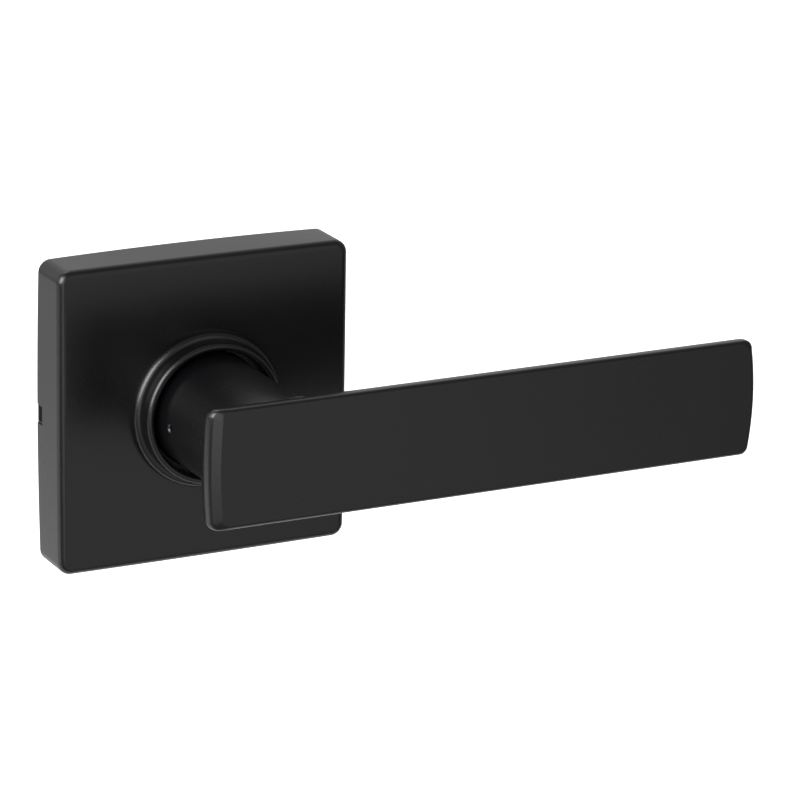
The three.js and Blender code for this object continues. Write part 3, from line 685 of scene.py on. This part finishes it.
def rounded_square(half, corner, swell=0.0, side_steps=36, corner_steps=10):
    """Points (along, up) of a square with round corners, whose sides may swell a little at their middle."""
    points = []
    for side in range(4):
        facing = math.pi / 2 * side
        outward = ray_at(facing)
        across = Vector((-outward.y, outward.x))
        straight = half - corner
        for k in range(side_steps):
            share = 2 * k / side_steps - 1
            points.append(outward * (half + swell * (1 - share * share)) + across * straight * share)
        for k in range(corner_steps):
            angle = facing + math.pi / 2 * k / corner_steps
            points.append((outward + across) * straight + ray_at(angle) * corner)
    return points


def rose():
    guide = [point.normalized() for point in rounded_square(ROSE_HALF, ROSE_CORNER)]
    loops = []

    def square_loop(inset, out, swell=0.0):
        corner = max(ROSE_CORNER - inset, 0.6)
        loops.append(level(rounded_square(ROSE_HALF - inset, corner, swell), out))

    def round_loop(radius, out):
        loops.append([at(ray.x * radius, ray.y * radius, out) for ray in guide])

    def rounding(radius, edge, front):
        """From a side that stands straight out, over its front edge."""
        for angle in quarter(10):
            round_loop(radius - edge * (1 - math.cos(angle)), front - edge * (1 - math.sin(angle)))

    lip = 0.25
    edge_start = ROSE_DEPTH - ROSE_EDGE
    square_loop(lip, 0.0, ROSE_SWELL)
    for angle in quarter(3)[1:]:
        square_loop(lip * (1 - math.sin(angle)), lip * (1 - math.cos(angle)), ROSE_SWELL)
    for k in range(1, 9):
        share = k / 8
        square_loop(0.0, lip + (edge_start - lip) * share, ROSE_SWELL * (1 - 0.75 * share))
    for angle in quarter(10)[1:]:
        inset = ROSE_EDGE * (1 - math.cos(angle))
        square_loop(inset, edge_start + ROSE_EDGE * math.sin(angle), ROSE_SWELL * 0.25 * math.cos(angle))
    for inset in (1.7, 2.6, 4.5, 8.0, 12.0):
        square_loop(inset, ROSE_DEPTH)
    round_loop(COLLAR_STEP + 0.5, ROSE_DEPTH)
    round_loop(COLLAR_STEP, ROSE_DEPTH)
    rounding(COLLAR_STEP, COLLAR_STEP_EDGE, COLLAR_STEP_FRONT)
    round_loop(COLLAR, COLLAR_STEP_FRONT)
    rounding(COLLAR, COLLAR_EDGE, COLLAR_FRONT)
    for angle in quarter(7):
        reach = COLLAR_MOUTH + COLLAR_MOUTH_EDGE * (1 - math.sin(angle))
        round_loop(reach, COLLAR_FRONT - COLLAR_MOUTH_EDGE * (1 - math.cos(angle)))
    inside = ROSE_DEPTH - ROSE_WALL
    round_loop(COLLAR_MOUTH, BUSH_FRONT + 0.6)
    round_loop(COLLAR_BORE, BUSH_FRONT + GAP)
    round_loop(COLLAR_BORE, inside + 0.3)
    round_loop(COLLAR_BORE + 0.3, inside)
    square_loop(12.0, inside)
    square_loop(ROSE_WALL + 1.0, inside)
    for angle in quarter(3):
        square_loop(ROSE_WALL + 0.6 * (1 - math.sin(angle)), inside - 0.6 * (1 - math.cos(angle)))
    square_loop(ROSE_WALL, 0.3, ROSE_SWELL)
    square_loop(ROSE_WALL - 0.3, 0.0, ROSE_SWELL)
    made = lofted("rose_cover", loops, joins_round=True)
    slot = eased(rectangle((-PRY_SLOT_HALF, -2.0), (PRY_SLOT_HALF, PRY_SLOT_DEPTH)), 0.2)
    sides = (-(ROSE_HALF + 2.0), -(ROSE_HALF - ROSE_WALL - 0.6))
    cut_away(made, lofted("pry_slot", [upright(slot, along) for along in sides]))
    return finish_piece(made, "black_coat", "rose_set", "rose")


def rose_liner():
    """The moulding that centres the rose: a square frame with a groove for the plate's dimples."""
    back, front = 2 * GAP, LINER_FRONT
    holes = [circle(LINER_OPENING, 160)]
    hole_distance = (PLATE + LINER_HALF * math.sqrt(2)) / 2
    for side in range(4):
        angle = math.radians(45 + 90 * side)
        centre = (hole_distance * math.cos(angle), hole_distance * math.sin(angle))
        holes.append(circle(ROSE_CORNER, 32, centre))
    outline = rounded_square(LINER_HALF, 1.2, 0.0, 1, 8)
    made = sheet_metal("rose_liner_moulding", outline, holes, back, front, 0.25)
    half = PRY_SLOT_HALF - 0.1
    tab_front = PRY_SLOT_DEPTH - 0.15
    block = rectangle((-half, 0.0), (half, tab_front))
    tab = lofted("pry_tab", [upright(block, along) for along in (TAB_FACE, 0.3 - LINER_HALF)])
    pocket = eased(rectangle((0.35 - half, 0.45), (half - 0.35, tab_front - 0.25)), 0.15)
    groove_reach = PLATE + DIMPLE + 2 * GAP
    groove = turned(
        "dimple_groove",
        [(groove_reach - 1.5, DIMPLE_OUT - 1.3), (groove_reach, DIMPLE_OUT - 0.6),
         (groove_reach, DIMPLE_OUT + 0.6), (groove_reach - 1.5, DIMPLE_OUT + 1.3)],
        sides=160,
    )
    cut_away(tab, lofted("pry_pocket", [upright(pocket, along) for along in (TAB_FACE - 1, TAB_FACE + 1)]))
    weld(made, tab)
    cut_away(made, groove)
    return finish_piece(made, "black_nylon", "rose_set", "rose_liner", crease=30)


def collar_bush():
    made = washer("collar_bush_ring", NECK + GAP, BUSH_OUTER, BUSH_BACK, BUSH_FRONT, 0.25)
    return finish_piece(made, "black_nylon", "rose_set", "collar_bush")


# ---- Mounting plate, bearing and fasteners ----

def plate_lug():
    """One lug of the plate, turned up at its rim, with a dimple pressed outwards; it lies along +X."""
    loops = []
    columns = 36
    rows = 26
    root = PLATE_THICKNESS / 2
    inner = PLATE - LUG_THICKNESS
    for column in range(columns + 1):
        across = LUG_HALF_ANGLE * (2 * column / columns - 1)
        angle = math.radians(across)
        from_side = (LUG_HALF_ANGLE - abs(across)) * math.pi / 180 * PLATE
        sunk = LUG_CORNER * (1 - math.sqrt(max(0.0, 1 - max(0.0, 1 - from_side / LUG_CORNER) ** 2)))
        top = LUG_FRONT - sunk
        face = []
        for row in range(rows + 1):
            out = root + (top - root) * row / rows
            away = math.hypot(math.radians(across) * PLATE, out - DIMPLE_OUT) / DIMPLE_RADIUS
            pressed = DIMPLE * math.cos(min(1.0, away) * math.pi / 2) ** 2
            face.append((inner + pressed, out))
        wall = [(radius + LUG_THICKNESS, out) for radius, out in face]
        loops.append(swung(wall + face[::-1], angle))
    return lofted("plate_lug", loops)


def mounting_plate():
    holes = [circle(BEARING + GAP, 72)]
    for side in (-1, 1):
        holes.append(circle(SCREW_HOLE, 32, (side * SCREW_OFFSET, 0)))
        holes.append(circle(RIVET_HOLE, 24, (0, side * RIVET_OFFSET)))
    made = sheet_metal("plate_pressing", circle(PLATE, 160), holes, 0.0, PLATE_THICKNESS, 0.2)
    lugs = grown(plate_lug(), COPIES_ROUND, count=4, start_angle=math.pi / 4)
    weld(made, lugs)
    return finish_piece(made, "zinc_plate", "rose_set", "mounting_plate")


def hub_bearing():
    """The bush in the plate, whose flange lies behind it."""
    flange_front = -GAP
    flange_back = flange_front - 1.2
    profile = [
        (SOCKET, BEARING_BACK), (BEARING, BEARING_BACK), (BEARING, flange_back), (FLANGE, flange_back),
        (FLANGE, flange_front), (BEARING, flange_front), (BEARING, BEARING_FRONT), (SOCKET, BEARING_FRONT),
    ]
    made = turned("hub_bearing_bush", eased(profile, 0.2, 3), tube=True)
    return finish_piece(made, "bronze", "rose_set", "hub_bearing")


def mounting_screw(side, node):
    """A through-screw: threaded shank, domed head and cross recess."""
    centre = (side * SCREW_OFFSET, 0)
    seat = PLATE_THICKNESS + GAP
    rim = seat + SCREW_HEAD_SIDE
    made = bar("screw_blank", circle(1, 4), 0, 1)
    grown(
        made, SCREW_THREAD, length=(seat - SCREW_TIP) * MM, pitch=THREAD_PITCH * MM,
        core=THREAD_CORE * MM, crest=THREAD_CREST * MM, sides=24, rows_per_turn=8,
    )
    made.data.transform(Matrix.Translation(at(*centre, SCREW_TIP)) @ TO_DOOR)
    made.name = made.data.name = node + "_threaded"
    profile = [(SCREW_HEAD - 0.25, seat - 0.05), (SCREW_HEAD, seat + 0.2), (SCREW_HEAD, rim)]
    for angle in quarter(8)[1:]:
        reach = SCREW_HEAD * (0.35 + 0.65 * math.cos(angle))
        profile.append((reach, rim + (SCREW_CROWN - rim) * math.sin(angle)))
    head = turned("screw_head", profile, centre, 64)
    for half_long, half_wide in ((RECESS_HALF, RECESS_SLOT_HALF), (RECESS_SLOT_HALF, RECESS_HALF)):
        blade = []
        for share, out in ((RECESS_TAPER, SCREW_CROWN - RECESS_DEPTH), (1.0, SCREW_CROWN + 0.1)):
            low = (centre[0] - share * half_long, -share * half_wide)
            high = (centre[0] + share * half_long, share * half_wide)
            blade.append(level(rectangle(low, high), out))
        cut_away(head, lofted("cross_recess", blade))
    weld(made, head)
    return finish_piece(made, "zinc_plate", "rose_set", node)


def cage_rivet(side, node):
    """A rivet with a flattened foot behind the plate and a domed head over the cage."""
    seat = CAGE_BACK + CAGE_SHEET + GAP
    foot = -GAP
    ease = 0.12
    profile = [
        (RIVET_FOOT - 0.5, RIVET_TAIL_BACK), (RIVET_FOOT - 0.1, RIVET_TAIL_BACK + ease),
        (RIVET_FOOT, foot - ease), (RIVET_FOOT - 0.1, foot),
        (RIVET_SHANK, foot), (RIVET_SHANK, seat), (RIVET_HEAD, seat),
    ]
    for angle in quarter(8)[1:-1]:
        profile.append((RIVET_HEAD * math.cos(angle), seat + (RIVET_CROWN - seat) * math.sin(angle)))
    profile.append((0.15, RIVET_CROWN))
    made = turned(node + "_set", profile, (0, side * RIVET_OFFSET), 48)
    return finish_piece(made, "zinc_plate", "rose_set", node)


# ---- Return spring ----

def cage_angles():
    """Half the driver's ear, the cage's stops, the spring's legs, and the room that the legs need."""
    ear_half = math.degrees(EAR_HALF_WIDTH / CAGE_WALL)
    stop = LEVER_TURN + ear_half + math.degrees(CLEAR_OF_STOP / CAGE_WALL)
    leg = ear_half + math.degrees((WIRE / 2 + GAP) / CAGE_WALL)
    sweep = LEVER_TURN + ear_half + 2 * math.degrees((WIRE / 2 + GAP) / CAGE_WALL)
    return ear_half, stop, leg, sweep


EAR_HALF, STOP_ANGLE, LEG_ANGLE, SWEEP_ANGLE = cage_angles()


def spring_cage():
    """A pressed floor with a lug for each rivet, two walls that stop the driver's ear, and an anchor."""
    ear_half = RIVET_HEAD + GAP
    reach = 90 - math.degrees(math.asin(ear_half / CAGE))
    outline = []
    for side, middle in ((1, 0), (-1, 180)):
        outline += arc_of(CAGE, middle - reach, middle + reach, 40)
        tip = rectangle((-ear_half, CAGE_TOP - 2), (ear_half, CAGE_TOP))
        outline += [side * point for point in tip[1:] + tip[:1]]
    holes = [circle(BEARING + GAP, 72)]
    for side in (1, -1):
        holes.append(circle(RIVET_HOLE, 24, (0, side * RIVET_OFFSET)))
    made = sheet_metal("spring_cage_pressing", outline, holes, CAGE_BACK, CAGE_BACK + CAGE_SHEET, 0.12)
    root = CAGE_BACK + 0.2
    walls = []
    for low, high in ((-90 + SWEEP_ANGLE, 90 - STOP_ANGLE), (90 + STOP_ANGLE, 270 - SWEEP_ANGLE)):
        curved = sector(CAGE_WALL, CAGE - 0.02, low, high, 32)
        walls.append(sheet_metal("cage_wall", curved, [], root, DRIVER_FRONT, 0.15))
    anchor_half = math.degrees(EAR_HALF_WIDTH / (CAGE + 0.9))
    anchor = sector(-SPRING_BOTTOM - 1.3, -SPRING_BOTTOM, 270 - anchor_half, 270 + anchor_half, 8)
    walls.append(sheet_metal("cage_anchor", anchor, [], root, THRUST_FRONT, 0.15))
    weld(made, *walls)
    return finish_piece(made, "zinc_plate", "rose_set", "spring_cage")


def return_spring():
    """Two turns of round wire whose legs stand out on both sides of the anchor and the driver's tang."""
    back = SPRING_BACK + WIRE / 2
    front = SPRING_FRONT - WIRE / 2
    start = math.radians(-90 + LEG_ANGLE)
    sweep = 4 * math.pi - math.radians(2 * LEG_ANGLE)
    leg_end = -SPRING_BOTTOM
    bend = 1.6

    def leg(angle, out, side):
        """From the leg's end in to the coil, turning into it by a round bend."""
        ray = ray_at(angle)
        along_coil = Vector((-ray.y, ray.x)) * side
        path = [(*(ray * (leg_end - (leg_end - COIL - bend) * k / 5)), out) for k in range(6)]
        centre = ray * (COIL + bend) + along_coil * bend
        for turn_by in quarter(8)[1:]:
            spot = centre - along_coil * bend * math.cos(turn_by) - ray * bend * math.sin(turn_by)
            path.append((*spot, out))
        return path

    points = leg(start, back, 1)
    taken = bend / COIL
    steps = 150
    for k in range(1, steps):
        share = k / steps
        angle = start + taken + (sweep - 2 * taken) * share
        points.append((COIL * math.cos(angle), COIL * math.sin(angle), back + (front - back) * share))
    points += reversed(leg(start + sweep, front, -1))
    made = bent_wire("return_spring_coil", points, WIRE)
    return finish_piece(made, "spring_steel", "rose_set", "return_spring", crease=50)


def spring_driver():
    """The keyed disc with its stop ear at the top and, at the bottom, the tang that winds the spring."""
    disc = COIL + WIRE / 2 + 0.45
    tang_outer = -DRIVER_BOTTOM
    beside = EAR_HALF + 2
    outline = arc_of(CAGE, 90 - EAR_HALF, 90 + EAR_HALF, 8)
    outline += arc_of(disc, 90 + beside, 270 - beside, 40)
    outline += arc_of(tang_outer, 270 - EAR_HALF, 270 + EAR_HALF, 8)
    outline += arc_of(disc, beside - 90, 90 - beside, 40)
    keyway = double_flat(SOCKET, SLEEVE_FLAT + GAP)
    back = DRIVER_FRONT - DRIVER_SHEET
    made = sheet_metal("spring_driver_pressing", outline, [keyway], back, DRIVER_FRONT, 0.15)
    turned_up = sector(tang_outer - DRIVER_SHEET, tang_outer - 0.01, 270 - EAR_HALF, 270 + EAR_HALF, 8)
    weld(made, sheet_metal("driver_tang", turned_up, [], TANG_BACK, DRIVER_FRONT - 0.2, 0.15))
    return finish_piece(made, "zinc_plate", "lever_set", "spring_driver")


# ---- Drive ----

def drive_sleeve():
    """The tube with two flats that turns in the bearing, with the spindle's square hole in its hub."""
    wall = eased(rectangle((SLEEVE_BORE, SLEEVE_BACK), (SLEEVE, SLEEVE_FRONT)), 0.35, 3)
    made = turned("drive_sleeve_tube", wall, sides=128, tube=True)
    weld(made, bar("sleeve_hub", circle(SLEEVE - 0.6), SLEEVE_BACK + 0.3, SPINDLE_FRONT))
    past = SLEEVE + 1
    hole = SPINDLE_HALF + GAP
    window = CATCH_NOSE + GAP
    groove = rectangle((SLEEVE - 1, CLIP_BACK - GAP), (past, CLIP_FRONT + GAP))
    cutters = [
        bar("square_hole", square(hole), SLEEVE_BACK - 1, SPINDLE_FRONT + 1),
        turned("clip_groove", groove, tube=True),
        bar("catch_window", rectangle((-past, -window), (0, window)), CATCH_OUT - window, CATCH_OUT + window),
        cross_hole("pin_hole", past),
    ]
    for low, high in ((-past, -SLEEVE_FLAT), (SLEEVE_FLAT, past)):
        cutters.append(bar("flat", rectangle((-past, low), (past, high)), THRUST_FRONT, SLEEVE_FRONT + 1))
    cut_away(made, *cutters)
    break_edges(made, 0.12)
    return finish_piece(made, "zinc_plate", "lever_set", "drive_sleeve")


def cross_hole(name, half):
    """A cutter for the pin's hole, standing upright."""
    hole = circle(PIN + GAP, 32)
    return lofted(name, [[at(p.x, up, PIN_OUT + p.y) for p in hole] for up in (-half, half)])


def spindle():
    back_chamfer, front_chamfer = 0.8, 0.3
    loops = []
    for inset, out in (
        (back_chamfer, SPINDLE_BACK), (0, SPINDLE_BACK + back_chamfer),
        (0, SPINDLE_FRONT - front_chamfer), (front_chamfer, SPINDLE_FRONT),
    ):
        half = SPINDLE_HALF - inset
        loops.append(level(eased(square(half), 0.5, 5), out))
    made = lofted("spindle_bar", loops)
    cut_away(made, cross_hole("spindle_pin_hole", SPINDLE_HALF + 2))
    return finish_piece(made, "zinc_plate", "lever_set", "spindle")


def spindle_pin():
    """The dowel across the spindle, with rounded ends."""
    loops = []
    for share, up in ((0.625, -1), (0.875, -0.97), (1, -0.9), (1, 0.9), (0.875, 0.97), (0.625, 1)):
        loops.append([at(p.x, up * PIN_HALF, PIN_OUT + p.y) for p in circle(share * PIN, 40)])
    return finish_piece(lofted("spindle_pin_dowel", loops), "spring_steel", "lever_set", "spindle_pin")


def thrust_washer():
    made = washer("thrust_washer_disc", SOCKET, WASHER, THRUST_BACK, THRUST_FRONT, 0.12)
    return finish_piece(made, "nylon", "lever_set", "thrust_washer")


def wave_washer():
    """A thin ring that rises and falls three times round."""
    middle = (WAVE_BACK + WAVE_FRONT) / 2
    half = 0.15
    rise = (WAVE_FRONT - WAVE_BACK) / 2 - half
    section = eased(rectangle((SOCKET, -half), (BEARING, half)), 0.08, 2)
    loops = []
    for k in range(144):
        angle = turn(k / 144)
        wave = middle + rise * math.cos(3 * angle)
        loops.append(swung([(radius, wave + out) for radius, out in section], angle))
    made = lofted("wave_washer_ring", loops, joins_round=True)
    return finish_piece(made, "spring_steel", "lever_set", "wave_washer")


def retaining_ring():
    """An open ring with a plier hole near each end."""
    inner = SLEEVE - 1 + GAP
    middle = (inner + CLIP) / 2
    first, last = -65, 245
    from_end = 5.5
    hole_angles = [math.radians(first + from_end), math.radians(last - from_end)]
    holes = [circle(0.55, 20, (middle * math.cos(a), middle * math.sin(a))) for a in hole_angles]
    outline = sector(inner, CLIP, first, last, 80)
    made = sheet_metal("retaining_ring_clip", outline, holes, CLIP_BACK, CLIP_FRONT, 0.12)
    return finish_piece(made, "spring_steel", "lever_set", "retaining_ring")


# ---- Catch ----

def lever_catch():
    """The plunger: a square nose with an eased tip, in front of a wider shoulder."""
    shoulder = CATCH_BACK - 1.6
    ease = 0.15
    loops = []
    for half, along, corner in (
        (CATCH_NOSE - 0.45, CATCH_TIP, 0.3),
        (CATCH_NOSE - 0.12, CATCH_TIP + 0.15, 0.35),
        (CATCH_NOSE, CATCH_TIP + 0.5, 0.4),
        (CATCH_NOSE, shoulder - 0.02, 0.4),
        (CATCH_HALF - ease, shoulder, 0.3),
        (CATCH_HALF, shoulder + ease, 0.3),
        (CATCH_HALF, CATCH_BACK - ease, 0.3),
        (CATCH_HALF - ease, CATCH_BACK, 0.3),
    ):
        loops.append(upright(eased(square(half), corner), along, CATCH_OUT))
    return finish_piece(lofted("lever_catch_plunger", loops), "spring_steel", "catch_set", "lever_catch")


def catch_spring():
    """The small coil behind the plunger, which shortens as the plunger goes in."""
    made = bar("catch_spring_blank", circle(1, 4), 0, 1)
    start = CATCH_SPRING_START + CATCH_WIRE / 2
    length = CATCH_SPRING_END - CATCH_WIRE / 2 - start
    grown(
        made, WOUND_SPRING, length=length * MM, turns=5.0, coil=(CATCH_COIL - CATCH_WIRE / 2) * MM,
        wire=CATCH_WIRE * MM, steps_per_turn=28,
    )
    lie = Matrix.Rotation(math.pi / 2, 4, "Y")
    made.data.transform(Matrix.Translation(at(start, 0, CATCH_OUT)) @ lie)
    made.name = made.data.name = "catch_spring_coil"
    finish_piece(made, "spring_steel", "lever_set", "catch_spring", crease=60)
    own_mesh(made)
    return made


# ---- Lever ----

def arc_drop(share):
    """How much of its radius a quarter circle has dropped, at a share of the way along it."""
    return 1 - math.sqrt(max(0.0, 1 - min(1.0, share) ** 2))


def heel_at(depth):
    """How far the bar reaches past the axis over the neck, at a depth behind its face."""
    nose_end = HEEL_BEVEL_DEPTH + HEEL_NOSE_DEPTH
    if depth <= HEEL_BEVEL_DEPTH:
        return HEEL - HEEL_NOSE - HEEL_BEVEL_LENGTH * (1 - depth / HEEL_BEVEL_DEPTH)
    if depth <= nose_end:
        return HEEL - HEEL_NOSE * ((nose_end - depth) / HEEL_NOSE_DEPTH) ** 2
    return HEEL - HEEL_ROUNDING * arc_drop((depth - nose_end) / (BAR_DEPTH - nose_end))


def drawn_in(depth):
    """How far the rounded back has drawn in at a depth, from 0 at the rim to 1 at the back."""
    return arc_drop(max(0.0, depth - BAR_RIM) / (BAR_DEPTH - BAR_RIM))


def edge_inset(depth, radius):
    """How far a front edge of that radius has drawn in at a depth behind the face."""
    return radius - math.sqrt(radius**2 - max(0.0, radius - depth) ** 2)


def bar_outline(depth, side_steps=70, corner_steps=8, end_steps=20):
    """Points (along, up) round the bar at a depth behind its face, from its lower right corner up."""
    inset = edge_inset(depth, BAR_EDGE)
    lower_inset = edge_inset(depth, BAR_LOWER_EDGE)
    narrowed = drawn_in(depth) * (BAR_HALF - BAR_BACK_HALF)
    top = BAR_HALF - inset - narrowed
    bottom = lower_inset + narrowed - BAR_HALF
    right = LEVER_REACH - BAR_END_BOW - inset - drawn_in(depth) * BAR_END_ROUNDING
    left = -heel_at(depth)
    corner = BAR_CORNER
    points = []

    def arc(centre_along, centre_up, start):
        for k in range(corner_steps):
            angle = math.radians(start + 90 * k / corner_steps)
            along = centre_along + corner * math.cos(angle)
            points.append(Vector((along, centre_up + corner * math.sin(angle))))

    def side(start, end, steps, bow):
        for k in range(steps):
            share = k / steps
            points.append(Vector(start).lerp(Vector(end), share) + Vector(bow) * 4 * share * (1 - share))

    arc(right - corner, bottom + corner, -90)
    side((right, bottom + corner), (right, top - corner), end_steps, (BAR_END_BOW, 0))
    arc(right - corner, top - corner, 0)
    side((right - corner, top), (left + corner, top), side_steps, (0, 0))
    arc(left + corner, top - corner, 90)
    side((left, top - corner), (left, bottom + corner), end_steps, (-BAR_END_BOW / 2, 0))
    arc(left + corner, bottom + corner, 180)
    side((left + corner, bottom), (right - corner, bottom), side_steps, (0, 0))
    return points


def bar_back_at(up):
    """How far out the bar's rounded back lies at a height above or below its middle line."""
    drawn = min(1.0, max(0.0, (BAR_HALF - abs(up)) / (BAR_HALF - BAR_BACK_HALF)))
    share = math.sqrt(1 - (1 - drawn) ** 2)
    return LEVER_FACE - BAR_RIM - share * (BAR_DEPTH - BAR_RIM)


def neck():
    """The round neck, whose foot bends out into the bar's back along the bar."""
    rays = [ray_at(turn(k / 144)) for k in range(144)]
    ease = 0.35
    loops = []
    for angle in quarter(4):
        reach = NECK - ease * (1 - math.sin(angle))
        loops.append(level([ray * reach for ray in rays], NECK_END + ease * (1 - math.cos(angle))))
    fillets = []
    for ray in rays:
        size = NECK_FILLET if ray.x > 0 else NECK_FILLET_HEEL
        fillets.append(size * ray.x * ray.x + 0.02)
    tops = [bar_back_at(ray.y * NECK) for ray in rays]
    around = list(zip(rays, fillets, tops))
    start = NECK_END + ease
    for k in range(1, 21):
        share = k / 20
        loops.append(
            [at(*(ray * NECK), start + (top - fillet - start) * share) for ray, fillet, top in around]
        )
    for angle in quarter(12)[1:-1]:
        out_share, up_share = 1 - math.cos(angle), 1 - math.sin(angle)
        loops.append(
            [at(*(ray * (NECK + fillet * out_share)), top - fillet * up_share) for ray, fillet, top in around]
        )
    inside = LEVER_FACE - BAR_RIM
    loops.append([at(*(ray * (NECK - 0.3)), max(top + 0.4, inside)) for ray, top in zip(rays, tops)])
    return lofted("neck", loops)


def lever():
    """The bar and its neck, with the sleeve's socket, the catch's pocket and the release hole."""
    depths = [BAR_DEPTH * (1 - 0.5 * (k / 12) ** 2) for k in range(13)]
    nose_end = HEEL_BEVEL_DEPTH + HEEL_NOSE_DEPTH
    depths += [BAR_DEPTH / 2 - (BAR_DEPTH / 2 - nose_end) * k / 6 for k in range(1, 7)]
    depths += [nose_end - HEEL_NOSE_DEPTH * k / 8 for k in range(1, 9)]
    depths += [BAR_LOWER_EDGE * (1 - math.sin(angle)) for angle in quarter(14)]
    depths = sorted(set(round(depth, 5) for depth in depths), reverse=True)
    made = lofted("lever_casting", [level(bar_outline(depth), LEVER_FACE - depth) for depth in depths])
    weld(made, neck())
    half = CATCH_NOSE + 2 * GAP
    pocket = rectangle((CATCH_TIP - GAP, -half), (0, half))
    cut_away(
        made,
        bar("socket", double_flat(SOCKET, SLEEVE_FLAT + GAP), NECK_END - 1, SLEEVE_FRONT + GAP),
        bar("catch_pocket", pocket, CATCH_OUT - half, CATCH_OUT + half),
        release_hole(),
    )
    return finish_piece(made, "black_coat", "lever_set", "lever", crease=28)


def release_hole():
    """The cutter for the small round hole in the neck's heel side, with a slight countersink."""
    sink = 0.35
    profile = ((-NECK - 1, RELEASE_HOLE + 1 + sink), (-NECK + sink, RELEASE_HOLE), (0.0, RELEASE_HOLE))
    loops = [upright(circle(radius, 28), along, CATCH_OUT) for along, radius in profile]
    return lofted("release_hole", loops)


# ---- Camera, floor and light ----

AZIMUTH = math.radians(27.148)
ELEVATION = math.radians(17.557)
ROLL = math.radians(1.105)
DISTANCE = 0.90887
LENS = 195.39
AIM = Vector((0.0, -0.030, 0.0))
FRAMING = (0.0331, 0.00685)  # how far the camera is moved right and up in its own plane
LIGHT_DISTANCE = 1.6


def make_camera():
    facing = math.cos(ELEVATION)
    forward = Vector((math.sin(AZIMUTH) * facing, math.cos(AZIMUTH) * facing, -math.sin(ELEVATION)))
    level = Vector((math.cos(AZIMUTH), -math.sin(AZIMUTH), 0))
    upright = level.cross(forward)
    right = level * math.cos(ROLL) + upright * math.sin(ROLL)
    up = upright * math.cos(ROLL) - level * math.sin(ROLL)
    data = bpy.data.cameras.new("camera")
    data.lens = LENS
    data.sensor_width = 36.0
    camera = put_in_scene("camera", data)
    place = AIM - forward * DISTANCE + right * FRAMING[0] + up * FRAMING[1]
    camera.matrix_world = Matrix.Translation(place) @ Matrix((right, up, -forward)).transposed().to_4x4()
    bpy.context.scene.camera = camera


def make_floor():
    bm = bmesh.new()
    bmesh.ops.create_grid(bm, x_segments=1, y_segments=1, size=9.0)
    floor = to_object(bm, "floor")
    floor.location = (0, 8.85, -0.42)
    material, tree, shader = start_material("pale_floor")
    shader.inputs["Base Color"].default_value = (0.93, 0.93, 0.93, 1)
    shader.inputs["Roughness"].default_value = 0.9
    shader.inputs["Specular IOR Level"].default_value = 0.0
    shader.inputs["Emission Color"].default_value = (1, 1, 1, 1)
    seen = add_node(tree, "ShaderNodeLightPath")
    tree.links.new(seen.outputs["Is Camera Ray"], shader.inputs["Emission Strength"])
    floor.data.materials.append(material)


def direction(azimuth, elevation):
    """A unit vector; azimuth 0 is towards the user, and positive to the user's left."""
    a, e = math.radians(azimuth), math.radians(elevation)
    return Vector((-math.sin(a) * math.cos(e), -math.cos(a) * math.cos(e), math.sin(e)))


def soft_box(name, azimuth, elevation, width, height, radiance):
    """An area light that faces the handle from LIGHT_DISTANCE, as bright to it as a card of that radiance."""
    data = bpy.data.lights.new(name, "AREA")
    data.shape = "RECTANGLE"
    data.size = width
    data.size_y = height
    data.energy = radiance * math.pi * width * height
    light = put_in_scene(name, data)
    light.location = direction(azimuth, elevation) * LIGHT_DISTANCE
    light.rotation_euler = (-light.location).to_track_quat("-Z", "Y").to_euler()
    light.visible_camera = False
    return light


def make_light():
    """A dim room in front, a brighter one behind the door's plane, and soft boxes round the handle."""
    world = bpy.data.worlds.new("studio")
    bpy.context.scene.world = world
    world.use_nodes = True
    tree = world.node_tree
    backdrop = tree.nodes["Background"]
    way = add_node(tree, "ShaderNodeTexCoord")
    parts = add_node(tree, "ShaderNodeSeparateXYZ")
    link = tree.links.new
    link(way.outputs["Generated"], parts.inputs[0])
    depth = add_node(tree, "ShaderNodeMapRange", interpolation_type="SMOOTHSTEP")
    set_inputs(depth, {"From Min": -0.2, "From Max": 0.6, "To Min": 0.25, "To Max": 0.68})
    link(parts.outputs["Y"], depth.inputs["Value"])
    seen = add_node(tree, "ShaderNodeLightPath")
    strength = math_of(tree, "MAXIMUM", depth.outputs[0], seen.outputs["Is Camera Ray"])
    link(strength, backdrop.inputs["Strength"])
    backdrop.inputs["Color"].default_value = (1, 1, 1, 1)
    soft_box("left_key", 57, 24, 1.2, 1.2, 9.5)
    soft_box("left_side", 95, 28, 0.75, 1.6, 2.2)
    soft_box("front_left", 20, 2, 0.7, 1.4, 1.5)
    soft_box("front_right", -20, 10, 0.7, 1.8, 0.5)
    soft_box("front_low", -15, -30, 1.2, 0.6, 0.4)
    soft_box("behind_top", 180, 62, 0.9, 0.9, 1.4)


# ---- The object ----

make_camera()
rose()
rose_liner()
collar_bush()
mounting_plate()
hub_bearing()
mounting_screw(-1, "mounting_screw_left")
mounting_screw(1, "mounting_screw_right")
cage_rivet(1, "cage_rivet_upper")
cage_rivet(-1, "cage_rivet_lower")
spring_cage()
return_spring()
spring_driver()
drive_sleeve()
spindle()
spindle_pin()
thrust_washer()
wave_washer()
retaining_ring()
lever_catch()
catch_spring()
lever()
make_floor()
make_light()
bpy.context.scene.view_settings.view_transform = "Standard"
